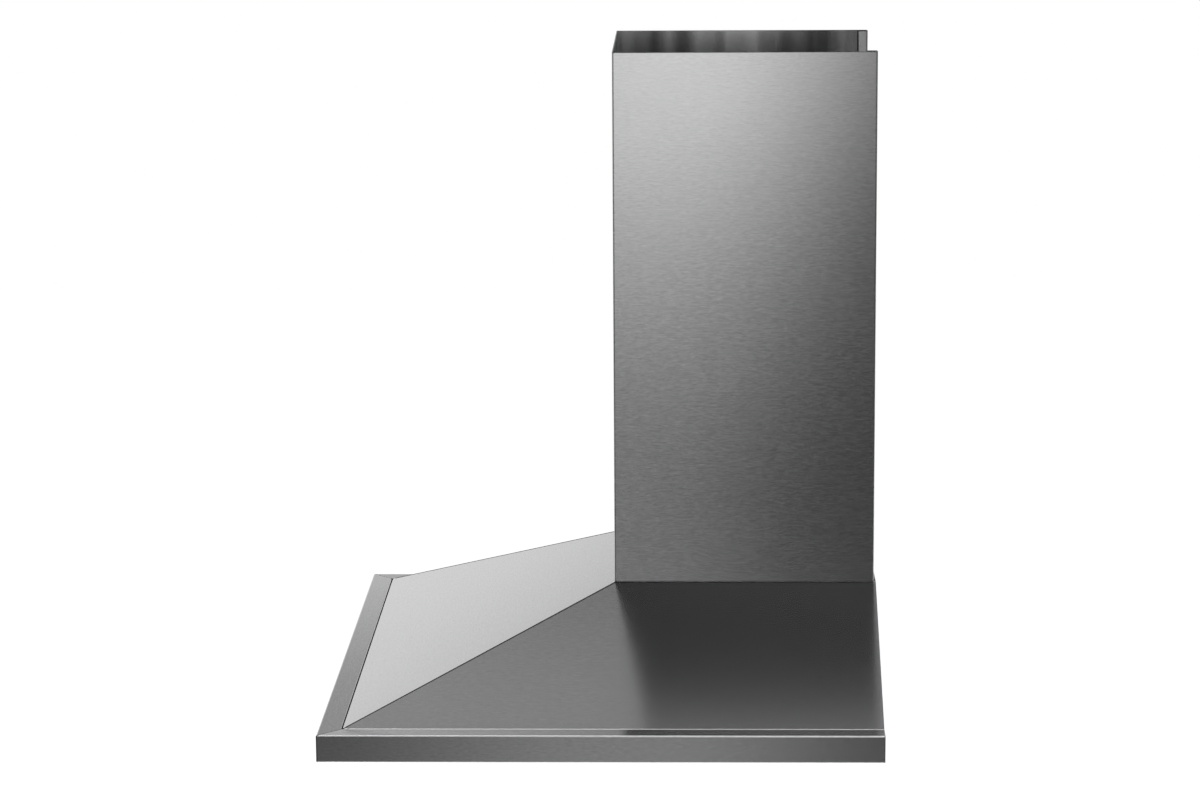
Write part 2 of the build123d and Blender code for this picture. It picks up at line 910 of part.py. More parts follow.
def wheel_disc():
    """The middle disc of the double-inlet wheel, with its hub."""
    disc = across_blower(Circle(impeller_radius), -disc_sheet / 2, disc_sheet / 2)
    disc += across_blower(Circle(hub_radius), -hub_motor_side, hub_length - hub_motor_side)
    return disc - across_blower(Circle(shaft_radius + shaft_play), -hub_length, hub_length)


def wheel_blades():
    """Two staggered rows of blades, each blade from a face of the disc to the ring at its end."""
    turn = 360 / blade_count
    near = disc_sheet / 2
    far = impeller_width / 2 - end_ring_width
    solids = []
    for first, low, high in ((0, near, far), (turn / 2, -far, -near)):
        for index in range(blade_count):
            section = Rot(0, 0, first + index * turn) * blade_section()
            solids.append(across_blower(section, low, high))
    return Compound(children=solids)


def wheel_rings():
    """The ring round each end of the wheel."""
    half = impeller_width / 2
    ring = Circle(impeller_radius + end_ring_lap) - Circle(blade_root_radius - end_ring_lap)
    ends = [(half - end_ring_width, half), (-half, -half + end_ring_width)]
    return Compound(children=[across_blower(ring, low, high) for low, high in ends])


def motor_stations():
    """Places along X of the motor's steps, from the hub outwards."""
    nose = -hub_motor_side - motor_gap
    inner_cap = nose - motor_nose_length
    body = inner_cap - motor_cap_length
    outer_cap = body - motor_length
    end = outer_cap - motor_cap_length
    return nose, inner_cap, body, outer_cap, end, end - motor_nose_length


def motor():
    """The motor: a laminated body between two notched end caps, each with a bearing nose."""
    nose, inner_cap, body, outer_cap, end, tail = motor_stations()
    steps = [
        (motor_nose_radius, nose, inner_cap),
        (motor_cap_radius, inner_cap, body),
        (motor_radius, body, outer_cap),
        (motor_cap_radius, outer_cap, end),
        (motor_nose_radius, end, tail),
    ]
    solid = None
    for radius, start, stop in steps:
        piece = across_blower(Circle(radius), stop, start)
        solid = piece if solid is None else solid + piece
    for index in range(motor_vent_count):
        notch = Pos(motor_cap_radius, 0) * Rectangle(2 * motor_vent_depth, motor_vent_width)
        notch = Rot(0, 0, index * 360 / motor_vent_count) * notch
        solid -= across_blower(notch, body, inner_cap)
        solid -= across_blower(notch, end, outer_cap)
    return solid - across_blower(Circle(shaft_radius + shaft_play), tail - past, nose + past)


def shaft():
    """The motor's shaft, from just past its outer bearing to the far end of the hub."""
    tail = motor_stations()[-1]
    return across_blower(Circle(shaft_radius), tail - shaft_overhang, hub_length - hub_motor_side)


def arm_angles():
    return [90 + index * 360 / arm_count for index in range(arm_count)]


def arm_screw_places():
    """Y and Z of the screws in the feet of the motor bracket."""
    reach = arm_reach + arm_foot / 2
    places = []
    for angle in arm_angles():
        turn = math.radians(angle)
        places.append((blower_y + reach * math.cos(turn), blower_z + reach * math.sin(turn)))
    return places


def motor_mount():
    """A ring on the motor's outer cap, with folded arms out to the side plate."""
    end = motor_stations()[4]
    face = -half_scroll - sheet
    ring = across_blower(Circle(arm_ring_radius), end - arm_sheet, end)
    outline = [
        (end - arm_sheet, motor_nose_radius + arm_sheet),
        (end - arm_sheet, arm_reach),
        (face - arm_sheet, arm_reach),
        (face - arm_sheet, arm_reach + arm_foot),
    ]
    arm_face = along_blower(sheet_section(outline, -arm_sheet, arm_sheet / 2))
    arm = extrude(arm_face, amount=arm_width / 2, both=True)
    for angle in arm_angles():
        ring += arm.rotate(blower_axis, angle - 90)
    ring -= across_blower(Circle(motor_nose_radius + fit_gap), end - arm_sheet - past, end + past)
    for y, z in arm_screw_places():
        start = (face - arm_sheet - past, y, z)
        ring -= rod(start, (1, 0, 0), screw_radius + screw_play, arm_sheet + 2 * past)
    return ring


def motor_screws():
    """Screws through the feet of the motor bracket into the side plate."""
    start = -half_scroll - sheet - arm_sheet
    grip = arm_sheet + sheet
    return Compound(children=[screw((start, y, z), (1, 0, 0), grip) for y, z in arm_screw_places()])


# ---------------------------------------------------------------- duct outlet


def outlet_middle():
    return blower_y + sum(outlet_walls()) / 2


def funnel(grow):
    """A loft from the blower's square outlet to the round collar, wider than the air path by grow."""
    wall, far_wall = outlet_walls()
    square = Rectangle(2 * (half_scroll + grow), far_wall - wall + 2 * grow)
    square = Pos(0, outlet_middle(), outlet_level) * square
    round_end = Pos(0, collar_y, transition_top) * Circle(duct_radius - duct_wall + grow)
    return loft([square, round_end])


def transition():
    """The funnel between blower and collar, with a flange on the blower and one under the collar."""
    wall, far_wall = outlet_walls()
    shell = funnel(transition_wall)
    lap = sheet + scroll_flange
    foot = Rectangle(2 * (half_scroll + lap), far_wall - wall + 2 * lap)
    shell += Pos(0, outlet_middle(), outlet_level) * extrude(foot, amount=transition_wall)
    head = Pos(0, collar_y, transition_top - transition_wall) * Circle(duct_radius + collar_flange)
    shell += extrude(head, amount=transition_wall)
    shell -= funnel(0)
    for x, y in collar_screw_places():
        start = (x, y, transition_top - transition_wall - past)
        shell -= rod(start, (0, 0, 1), screw_radius + screw_play, transition_wall + 2 * past)
    return shell


def collar_screw_places():
    """X and Y of the screws round the collar, whose heads leave room for the duct."""
    reach = duct_radius + duct_slip + screw_head_radius
    places = []
    for index in range(4):
        turn = math.radians(45 + 90 * index)
        places.append((reach * math.cos(turn), collar_y + reach * math.sin(turn)))
    return places


def collar():
    """The round spigot that the duct slides over, with a stop ring for the flaps and bores for their pin."""
    ring = Pos(0, collar_y, transition_top) * extrude(Circle(duct_radius + collar_flange), amount=duct_wall)
    ring += Pos(0, collar_y, transition_top) * extrude(Circle(duct_radius), amount=collar_height)
    inside = duct_radius - duct_wall
    bottom = transition_top - past
    ring -= Pos(0, collar_y, bottom) * extrude(Circle(inside - stop_width), amount=collar_height + 2 * past)
    ring -= Pos(0, collar_y, stop_top) * extrude(Circle(inside), amount=collar_height)
    for x, y in collar_screw_places():
        ring -= rod((x, y, bottom), (0, 0, 1), screw_radius + screw_play, duct_wall + 2 * past)
    pin_bore = (-duct_radius - past, collar_y, damper_z)
    return ring - rod(pin_bore, (1, 0, 0), damper_pin_radius + pin_play, 2 * (duct_radius + past))


def damper_pin():
    """The pin across the collar that both flaps hang on."""
    return rod((-duct_radius, collar_y, damper_z), (1, 0, 0), damper_pin_radius, 2 * duct_radius)


def flap(side):
    """A half-round flap with its knuckles on the pin. side is -1 for the front flap, 1 for the rear."""
    radius = duct_radius - duct_wall - flap_gap
    bottom = damper_z - knuckle_radius
    edge = knuckle_radius + knuckle_gap
    plate = Pos(0, collar_y, bottom) * extrude(Circle(radius), amount=flap_sheet)
    own_side = sorted((collar_y + side * edge, collar_y + side * radius))
    plate &= block((-radius, radius), own_side, (bottom, bottom + flap_sheet))
    for way in (-1, 1):
        middle = way * knuckle_reach + side * (knuckle_length + knuckle_gap) / 2
        ends = (middle - knuckle_length / 2, middle + knuckle_length / 2)
        plate += rod((ends[0], collar_y, damper_z), (1, 0, 0), knuckle_radius, knuckle_length)
        root = sorted((collar_y, collar_y + side * (edge + past)))
        plate += block(ends, root, (bottom, bottom + flap_sheet))
    return plate - rod((-radius, collar_y, damper_z), (1, 0, 0), damper_pin_radius + pin_play, 2 * radius)


def collar_screws():
    """Screws down through the collar's flange into the funnel's head."""
    grip = duct_wall + transition_wall
    top = transition_top + duct_wall
    return Compound(children=[screw((x, y, top), (0, 0, -1), grip) for x, y in collar_screw_places()])


# ---------------------------------------------------------------- mains side


def junction_box():
    """An open-topped box on the deck, beside the blower."""
    x_range = (box_x - box_width / 2, box_x + box_width / 2)
    y_range = (box_front, box_rear)
    case = block(x_range, y_range, (deck_top, box_top))
    return case - block(
        (x_range[0] + box_wall, x_range[1] - box_wall),
        (y_range[0] + box_wall, y_range[1] - box_wall),
        (deck_top + box_wall, box_top + past),
    )


def gland_place():
    """X and Y of the gland, towards the front of the lid."""
    return box_x, box_front + box_wall + gland_setback


def junction_lid():
    """The flat lid of the junction box, with the gland's hole."""
    x, y = gland_place()
    x_range = (box_x - box_width / 2, box_x + box_width / 2)
    lid = block(x_range, (box_front, box_rear), (box_top, box_top + lid_height))
    return lid - rod((x, y, box_top - past), (0, 0, 1), gland_radius + pin_play, lid_height + 2 * past)


def gland():
    """The mains inlet: a threaded barrel through the lid with a nut on top."""
    x, y = gland_place()
    low = box_top - gland_nut_height / 2
    barrel = rod((x, y, low), (0, 0, 1), gland_radius, gland_height)
    nut = extrude(RegularPolygon(gland_nut_radius, 6), amount=gland_nut_height)
    nut = Pos(x, y, box_top + lid_height) * nut
    return barrel + nut - rod((x, y, low - past), (0, 0, 1), gland_bore, gland_height + 2 * past)


def terminals():
    """A row of terminals on the floor of the junction box."""
    base = deck_top + box_wall
    length = terminal_count * terminal_pitch
    y_low = box_rear - box_wall - fit_gap - length
    x_range = (box_x - terminal_width / 2, box_x + terminal_width / 2)
    strip = block(x_range, (y_low, y_low + length), (base, base + terminal_height))
    for index in range(1, terminal_count):
        groove = y_low + index * terminal_pitch
        strip -= block(
            (x_range[0] - past, x_range[1] + past),
            (groove - terminal_groove / 2, groove + terminal_groove / 2),
            (base + terminal_height / 2, base + terminal_height + past),
        )
    return strip


def capacitor():
    """The motor's run capacitor, standing on the deck."""
    can = rod((capacitor_x, -capacitor_setback, deck_top), (0, 0, 1), capacitor_radius, capacitor_height)
    return chamfer(can.edges().filter_by(GeomType.CIRCLE).sort_by(Axis.Z)[-1], capacitor_edge)


def capacitor_clip():
    """A band round the capacitor with a foot on the deck."""
    level = deck_top + clip_level
    inner = capacitor_radius + fit_gap
    outer = inner + clip_sheet
    y = -capacitor_setback
    band = rod((capacitor_x, y, level), (0, 0, 1), outer, clip_height)
    band -= rod((capacitor_x, y, level - past), (0, 0, 1), inner, clip_height + 2 * past)
    leg_y = y - outer
    x_range = (capacitor_x - clip_height / 2, capacitor_x + clip_height / 2)
    leg = block(x_range, (leg_y, leg_y + clip_sheet), (deck_top, level + clip_height))
    foot = block(x_range, (leg_y - clip_height, leg_y + clip_sheet), (deck_top, deck_top + clip_sheet))
    return band + leg + foot


# ---------------------------------------------------------------- writing


def mirrored(solid):
    return mirror(solid, about=Plane.YZ)


def all_nodes():
    """Every node's name and solid."""
    nodes = {
        "canopy_front_panel": canopy_front(),
        "front_rim": rim(),
        "canopy_back_panel": wall_plate(),
        "lower_chimney_cover": lower_cover(),
        "upper_chimney_cover": upper_cover(),
        "upper_cover_strap": upper_strap(),
        "lower_cover_bracket": lower_bracket(),
        "base_pan": pan(),
        "led_driver": driver(),
        "switch_housing": switches(),
        "control_board": board(),
        "blower_deck": deck(),
        "deck_screws": deck_screws(),
        "blower_screws": blower_screws(),
        "scroll_wrap": wrap(),
        "impeller_wheel": wheel_disc(),
        "impeller_blades": wheel_blades(),
        "impeller_end_rings": wheel_rings(),
        "motor_shaft": shaft(),
        "motor_body": motor(),
        "motor_bracket": motor_mount(),
        "motor_screws": motor_screws(),
        "outlet_transition": transition(),
        "outlet_collar": collar(),
        "collar_screws": collar_screws(),
        "damper_pin": damper_pin(),
        "damper_flap_front": flap(-1),
        "damper_flap_rear": flap(1),
        "junction_box": junction_box(),
        "junction_box_lid": junction_lid(),
        "cable_gland": gland(),
        "terminal_block": terminals(),
        "run_capacitor": capacitor(),
        "capacitor_clip": capacitor_clip(),
    }
    pairs = {
        "canopy_side": canopy_side(),
        "scroll_side": scroll_plate(),
        "inlet_ring": inlet_ring(),
        "filter_frame": filter_frame(),
        "filter_baffles": baffles(),
        "filter_latch": filter_latch(),
    }
    for name, solid in pairs.items():
        nodes[f"{name}_right"] = solid
        nodes[f"{name}_left"] = mirrored(solid)
    for name, (x, y) in zip(("left", "right"), lamp_places()):
        nodes[f"lamp_bezel_{name}"] = lamp_bezel(x, y)
        nodes[f"lamp_lens_{name}"] = lamp_lens(x, y)
        nodes[f"lamp_body_{name}"] = lamp_body(x, y)
    for number, x in enumerate(button_places(), start=1):
        nodes[f"push_button_{number}"] = button(x)
    return nodes


os.makedirs("parts", exist_ok=True)
for node_name, node_solid in all_nodes().items():
    export_step(node_solid, f"parts/{node_name}.step")
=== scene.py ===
import json
import math

import bmesh
import bpy
from mathutils import Matrix, Vector


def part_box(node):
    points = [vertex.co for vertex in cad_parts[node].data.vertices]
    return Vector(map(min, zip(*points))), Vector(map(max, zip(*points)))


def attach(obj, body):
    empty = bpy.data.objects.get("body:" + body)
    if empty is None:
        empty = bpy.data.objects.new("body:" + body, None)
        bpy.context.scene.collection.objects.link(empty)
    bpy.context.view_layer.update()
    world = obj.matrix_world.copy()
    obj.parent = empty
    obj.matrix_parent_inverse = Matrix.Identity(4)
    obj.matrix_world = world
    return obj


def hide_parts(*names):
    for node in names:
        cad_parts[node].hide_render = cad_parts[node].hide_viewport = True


# A wall-mounted chimney range hood in brushed stainless steel, in a plain studio.
# Lengths are metres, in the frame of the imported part: +Z up, the wall at Y = 0, the front at negative Y.

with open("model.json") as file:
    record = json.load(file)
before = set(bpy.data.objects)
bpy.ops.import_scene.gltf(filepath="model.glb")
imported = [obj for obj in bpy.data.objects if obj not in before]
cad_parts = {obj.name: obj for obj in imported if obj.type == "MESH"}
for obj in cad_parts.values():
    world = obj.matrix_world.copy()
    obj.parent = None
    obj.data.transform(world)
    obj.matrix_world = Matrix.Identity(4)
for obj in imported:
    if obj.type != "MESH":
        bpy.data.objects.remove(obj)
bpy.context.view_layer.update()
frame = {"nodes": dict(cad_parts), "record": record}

# ---------------------------------------------------------------- camera

IMAGE_WIDTH = 1200
FOCAL_PIXELS = 3691.4
SENSOR_WIDTH = 36.0
CAMERA_PLACE = Vector((3.420341, -0.166533, 0.931182))
CAMERA_PITCH = 0.1915
CAMERA_YAW = 0.0262
CAMERA_ROLL = -0.0060
CAMERA_NEAR = 0.05
CAMERA_FAR = 60


def make_camera():
    """The photograph's view: nearly square to the right side, a little from above."""
    level = Vector((-math.cos(CAMERA_YAW), -math.sin(CAMERA_YAW), 0))
    right = Vector((-math.sin(CAMERA_YAW), math.cos(CAMERA_YAW), 0))
    up = Vector((0, 0, 1))
    forward = level * math.cos(CAMERA_PITCH) - up * math.sin(CAMERA_PITCH)
    upward = up * math.cos(CAMERA_PITCH) + level * math.sin(CAMERA_PITCH)
    side = right * math.cos(CAMERA_ROLL) + upward * math.sin(CAMERA_ROLL)
    top = upward * math.cos(CAMERA_ROLL) - right * math.sin(CAMERA_ROLL)
    data = bpy.data.cameras.new("view_camera")
    data.sensor_width = SENSOR_WIDTH
    data.lens = SENSOR_WIDTH * FOCAL_PIXELS / IMAGE_WIDTH
    data.clip_start = CAMERA_NEAR
    data.clip_end = CAMERA_FAR
    camera = bpy.data.objects.new("view_camera", data)
    turn = Matrix((side, top, -forward)).transposed().to_4x4()
    camera.matrix_world = Matrix.Translation(CAMERA_PLACE) @ turn
    bpy.context.scene.collection.objects.link(camera)
    bpy.context.scene.camera = camera


# ---------------------------------------------------------------- material nodes


class Graph:
    """Adds nodes to a material or world and links them."""

    def __init__(self, owner):
        owner.use_nodes = True
        self.tree = owner.node_tree
        self.tree.nodes.clear()

    def add(self, kind, settings=None, **inputs):
        """A node. Settings are its properties, and inputs are values or sockets, by socket name."""
        node = self.tree.nodes.new(kind)
        for name, value in (settings or {}).items():
            setattr(node, name, value)
        for name, value in inputs.items():
            self.put(node, name.replace("_", " "), value)
        return node

    def put(self, node, name, value):
        socket = node.inputs[int(name)] if name.isdigit() else node.inputs[name]
        if isinstance(value, bpy.types.NodeSocket):
            self.tree.links.new(value, socket)
        else:
            socket.default_value = value

    def math(self, operation, first, second=0.0, clamp=False):
        node = self.add("ShaderNodeMath", {"operation": operation, "use_clamp": clamp})
        self.put(node, "0", first)
        self.put(node, "1", second)
        return node.outputs[0]

    def vector(self, operation, first, second=None):
        node = self.add("ShaderNodeVectorMath", {"operation": operation})
        self.put(node, "0", first)
        if second is not None:
            self.put(node, "1", second)
        return node.outputs[0]

    def spread(self, value, low, high):
        """A value from 0 to 1 spread between two numbers."""
        return self.add("ShaderNodeMapRange", Value=value, To_Min=low, To_Max=high).outputs[0]

    def blend(self, share, first, second):
        """A colour that goes from the first to the second as share goes from 0 to 1."""
        node = self.add("ShaderNodeMix", {"data_type": "RGBA"}, Factor=share)
        for socket, value in zip([item for item in node.inputs if item.type == "RGBA"], (first, second)):
            if isinstance(value, bpy.types.NodeSocket):
                self.tree.links.new(value, socket)
            else:
                socket.default_value = value
        return next(item for item in node.outputs if item.type == "RGBA")

    def place(self, scale=(1, 1, 1)):
        """The place on the object in metres, with each axis scaled."""
        where = self.add("ShaderNodeTexCoord").outputs["Object"]
        return self.add("ShaderNodeMapping", Vector=where, Scale=scale).outputs[0]

    def noise(self, scale, detail=2.0, roughness=0.5, place=(1, 1, 1)):
        node = self.add(
            "ShaderNodeTexNoise", Vector=self.place(place), Scale=scale, Detail=detail, Roughness=roughness
        )
        return node.outputs["Fac"]

    def dot(self, first, second):
        node = self.add("ShaderNodeVectorMath", {"operation": "DOT_PRODUCT"})
        self.put(node, "0", first)
        self.put(node, "1", second)
        return node.outputs["Value"]

    def bump(self, height, strength, distance, normal=None):
        node = self.add("ShaderNodeBump", Height=height, Strength=strength, Distance=distance)
        if normal is not None:
            self.put(node, "Normal", normal)
        return node.outputs[0]

    def finish(self, shader):
        out = self.add("ShaderNodeOutputMaterial")
        self.tree.links.new(shader, out.inputs["Surface"])


def grey(level):
    return (level, level, level, 1.0)


def material(name):
    made = bpy.data.materials.new(name)
    return made, Graph(made)


def tinted(graph, tone, low, high, value):
    """A colour between two brightnesses of one tone."""
    ramp = graph.add("ShaderNodeValToRGB", Fac=value)
    for stop, share in zip(ramp.color_ramp.elements, (low, high)):
        stop.color = (tone[0] * share, tone[1] * share, tone[2] * share, 1.0)
    return ramp.outputs["Color"]


# ---------------------------------------------------------------- finishes

# The scales are noise cells per metre, but the coarse grain's is a share of the fine grain's.
# GRAIN_BUMP_DEPTH and BEND_RADIUS are metres.
STEEL_TONE = (0.60, 0.60, 0.605)
STEEL_ROUGHNESS = 0.17
ROUGHNESS_SWING = 0.036
STEEL_STRETCH = 0.97
SMEAR_SCALE = 7.0
SMEAR_SWING = 0.02
GRAIN_LENGTH_SCALE = 270
GRAIN_WIDTH_SCALE = 1500
GRAIN_CONTRAST = 0.14
COARSE_GRAIN_SCALE = 0.5
COARSE_GRAIN_SHARE = 0.5
GRAIN_BUMP_STRENGTH = 0.1
GRAIN_BUMP_DEPTH = 0.00003
# The way that the grain runs. A level grain runs round the upright axis.
GRAIN_AXES = {"x": (1, 0, 0), "y": (0, 1, 0), "level": (0, 0, 1)}
BEND_RADIUS = 0.0012
BEND_SAMPLES = 6
# The painted highlight on shallow folds: how it gathers and fades, and its dull white colour.
BEND_GAIN = 400.0
BEND_SHALLOW = 0.03
BEND_SHALLOW_GAIN = 100.0
BEND_CUT_FADE = 8.0
BEND_HIGHLIGHT_METAL = 0.0
BEND_HIGHLIGHT_TONE = (1.0, 1.0, 1.0, 1.0)
# Painted shade along the cut edges at the seams, with the polish that gathers there: where it starts, how
# fast it darkens, and its colour.
SEAM_SHADE_START = 0.15
SEAM_SHADE_GAIN = 4.0
SEAM_SHADE_TONE = (0.05, 0.05, 0.05, 1.0)
# The mill finish of inner faces, with painted light and dark patches of reflection that run up and down.
MILL_PATCH_WIDTH_SCALE = 32.0
MILL_PATCH_LENGTH_SCALE = 1.5
MILL_PATCH_REACH = 0.14
MILL_DARK = 0.35
MILL_BRIGHT = 1.5
SIDE_SHEET_LEAN = 0.032
SIDE_SHEET_BOW = 0.04


def facing_inwards(graph, flat, node):
    """1 on the faces that look towards the upright middle line of a node, 0 on the others."""
    low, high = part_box(node)
    middle = (low + high) / 2
    where = graph.add("ShaderNodeTexCoord").outputs["Object"]
    outward = graph.vector("MULTIPLY", graph.vector("SUBTRACT", where, middle[:]), (1, 1, 0))
    return graph.math("LESS_THAN", graph.dot(flat, outward), 0.0)


def steel_streaks(graph, grain):
    """Fine and coarse streaks along the grain."""
    along = [GRAIN_WIDTH_SCALE] * 3
    if grain == "level":
        along[0] = along[1] = GRAIN_LENGTH_SCALE
    else:
        along["xyz".index(grain)] = GRAIN_LENGTH_SCALE
    fine = graph.noise(scale=1.0, detail=3.0, roughness=0.65, place=along)
    coarse = graph.noise(scale=COARSE_GRAIN_SCALE, detail=2.0, place=along)
    return graph.math(
        "ADD",
        graph.math("MULTIPLY", fine, 1 - COARSE_GRAIN_SHARE),
        graph.math("MULTIPLY", coarse, COARSE_GRAIN_SHARE),
    )


def mill_colour_and_painted_reflection(graph):
    """The dull finish of the mill, with painted light and dark patches of reflection that run up and down.
    """
    upright = (MILL_PATCH_WIDTH_SCALE, MILL_PATCH_WIDTH_SCALE, MILL_PATCH_LENGTH_SCALE)
    smear_and_reflection = graph.noise(scale=1.0, detail=2.0, place=upright)
    patches = graph.add("ShaderNodeMapRange", Value=smear_and_reflection)
    graph.put(patches, "From Min", 0.5 - MILL_PATCH_REACH)
    graph.put(patches, "From Max", 0.5 + MILL_PATCH_REACH)
    return tinted(graph, STEEL_TONE, low=MILL_DARK, high=MILL_BRIGHT, value=patches.outputs[0])


def painted_fold_highlight(graph, rounded, flat, cut):
    """The mask of a painted highlight: 1 on the shallow folds of level faces. It fades to 0 on upright,
    flat and cut ones.
    """
    off_flat = graph.math("SUBTRACT", 1.0, graph.dot(rounded, flat))
    shallow = graph.math("SUBTRACT", BEND_SHALLOW, off_flat)
    shallow = graph.math("MULTIPLY", shallow, BEND_SHALLOW_GAIN, clamp=True)
    uncut = graph.math("SUBTRACT", 1.0, graph.math("MULTIPLY", cut, BEND_CUT_FADE), clamp=True)
    level = graph.math("ABSOLUTE", graph.dot(flat, GRAIN_AXES["level"]))
    fold_highlight = graph.math("MULTIPLY", graph.math("MULTIPLY", off_flat, BEND_GAIN, clamp=True), level)
    return graph.math("MULTIPLY", fold_highlight, graph.math("MULTIPLY", shallow, uncut))


def bowed_normal(graph, normal, bowed):
    """Leans the reflections in a bowed node to the front, down at its foot and up at its top."""
    low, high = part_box(bowed)
    height = graph.add("ShaderNodeSeparateXYZ", Vector=graph.place()).outputs["Z"]
    share = graph.add("ShaderNodeMapRange", Value=height, To_Min=-SIDE_SHEET_BOW, To_Max=SIDE_SHEET_BOW)
    graph.put(share, "From Min", low.z)
    graph.put(share, "From Max", high.z)
    tilt = graph.add("ShaderNodeCombineXYZ", Y=-SIDE_SHEET_LEAN, Z=share.outputs[0]).outputs[0]
    return graph.vector("NORMALIZE", graph.vector("ADD", normal, tilt))


def brushed_steel(name, grain, hollow=None, bowed=None):
    """Stainless sheet. The grain runs along its own X or Y, or level round a vertical cover.

    The cut edges of the sheets are dark: painted shade in the seams, with the polish that gathers
    there. The inner faces of a hollow node keep their dull mill finish, with painted light and dark
    patches of reflection. The reflections in a bowed node turn a little, as in any large thin sheet,
    and its shallow folds carry a painted highlight, a dull white line.
    """
    made, graph = material(name)
    streaks = steel_streaks(graph, grain)
    smears = graph.noise(scale=SMEAR_SCALE, detail=3.0, roughness=0.6)
    colour = tinted(
        graph, STEEL_TONE, low=1 - 2 * GRAIN_CONTRAST, high=1 + 2 * GRAIN_CONTRAST, value=streaks
    )
    rough = graph.math(
        "ADD",
        graph.spread(streaks, STEEL_ROUGHNESS - ROUGHNESS_SWING, STEEL_ROUGHNESS + ROUGHNESS_SWING),
        graph.spread(smears, -SMEAR_SWING, SMEAR_SWING),
    )
    flat = graph.add("ShaderNodeNewGeometry").outputs["Normal"]
    way = graph.add(
        "ShaderNodeVectorTransform",
        {"vector_type": "VECTOR", "convert_from": "OBJECT", "convert_to": "WORLD"},
        Vector=GRAIN_AXES[grain],
    ).outputs[0]
    # Inner faces take the mill finish and its painted patches of reflection.
    if hollow:
        colour = graph.blend(facing_inwards(graph, flat, hollow), colour, mill_colour_and_painted_reflection(graph))
    if grain == "level":
        stretch = graph.add("ShaderNodeCombineXYZ", Z=1.0).outputs[0]
    else:
        stretch = graph.vector("CROSS_PRODUCT", flat, way)
    rounded = graph.add("ShaderNodeBevel", {"samples": BEND_SAMPLES}, Radius=BEND_RADIUS).outputs[0]
    cut = graph.math("ABSOLUTE", graph.dot(rounded, way))
    # Painted shade: the cut edges darken towards the seams, with the polish that gathers there.
    edge = graph.math("SUBTRACT", cut, SEAM_SHADE_START)
    colour = graph.blend(graph.math("MULTIPLY", edge, SEAM_SHADE_GAIN, clamp=True), colour, SEAM_SHADE_TONE)
    normal = graph.bump(streaks, GRAIN_BUMP_STRENGTH, GRAIN_BUMP_DEPTH, rounded)
    metal = 1.0
    if bowed:
        # Painted highlight: the shallow folds turn dull white.
        fold_highlight = painted_fold_highlight(graph, rounded, flat, cut)
        colour = graph.blend(fold_highlight, colour, BEND_HIGHLIGHT_TONE)
        metal = graph.spread(fold_highlight, 1.0, BEND_HIGHLIGHT_METAL)
        normal = bowed_normal(graph, normal, bowed)
    shader = graph.add(
        "ShaderNodeBsdfPrincipled",
        Base_Color=colour,
        Metallic=metal,
        Roughness=rough,
        Anisotropic=STEEL_STRETCH,
        Tangent=stretch,
        Normal=normal,
    )
    graph.finish(shader.outputs[0])
    return made


def zinc_sheet():
    """Zinc-coated sheet with a faint spangle."""
    made, graph = material("zinc_sheet")
    cells = graph.add("ShaderNodeTexVoronoi", Vector=graph.place(), Scale=190.0)
    shade = graph.add("ShaderNodeSeparateColor", Color=cells.outputs["Color"]).outputs[0]
    dust = graph.noise(scale=60.0, detail=4.0)
    colour = tinted(graph, (0.56, 0.575, 0.59), low=0.86, high=1.08, value=shade)
    rough = graph.math(
        "ADD", graph.spread(shade, low=0.34, high=0.48), graph.spread(dust, low=-0.05, high=0.05)
    )
    shader = graph.add(
        "ShaderNodeBsdfPrincipled",
        Base_Color=colour,
        Metallic=1.0,
        Roughness=rough,
        Normal=graph.bump(dust, strength=0.15, distance=0.0001),
    )
    graph.finish(shader.outputs[0])
    return made


METAL_SWING = 0.06
PLASTIC_SWING = 0.05
SPARK_SCALE = 1400.0


def satin_metal(name, tone, roughness, grain_scale=500.0):
    """Turned or satin bare metal."""
    made, graph = material(name)
    grain = graph.noise(scale=grain_scale, detail=3.0)
    smears = graph.noise(scale=25.0, detail=2.0)
    rough = graph.math(
        "ADD",
        graph.spread(grain, low=roughness - METAL_SWING, high=roughness + METAL_SWING),
        graph.spread(smears, low=-0.04, high=0.04),
    )
    shader = graph.add(
        "ShaderNodeBsdfPrincipled",
        Base_Color=tinted(graph, tone, low=0.9, high=1.05, value=smears),
        Metallic=1.0,
        Roughness=rough,
        Normal=graph.bump(grain, strength=0.12, distance=0.00005),
    )
    graph.finish(shader.outputs[0])
    return made


def moulded_plastic(name, tone, roughness):
    """Plastic with a fine spark-eroded texture."""
    made, graph = material(name)
    texture = graph.noise(scale=SPARK_SCALE, detail=2.0)
    flow = graph.noise(scale=18.0, detail=3.0)
    rough = graph.math(
        "ADD",
        graph.spread(texture, low=roughness - PLASTIC_SWING, high=roughness + PLASTIC_SWING),
        graph.spread(flow, low=-PLASTIC_SWING, high=PLASTIC_SWING),
    )
    shader = graph.add(
        "ShaderNodeBsdfPrincipled",
        Base_Color=tinted(graph, tone, low=0.88, high=1.08, value=flow),
        Roughness=rough,
        Normal=graph.bump(texture, strength=0.2, distance=0.00006),
    )
    graph.finish(shader.outputs[0])
    return made


def frosted_lens():
    """Frosted glass over the lamp, with a fine cell pattern on its face."""
    made, graph = material("lamp_glass")
    cells = graph.add("ShaderNodeTexVoronoi", Vector=graph.place(), Scale=420.0).outputs["Distance"]
    shader = graph.add(
        "ShaderNodeBsdfPrincipled",
        Base_Color=tinted(graph, (0.93, 0.93, 0.91), low=0.94, high=1.0, value=cells),
        Roughness=graph.spread(cells, low=0.2, high=0.32),
        IOR=1.49,
        Normal=graph.bump(cells, strength=0.3, distance=0.0002),
    )
    shader.inputs["Transmission Weight"].default_value = 0.85
    graph.finish(shader.outputs[0])
    return made


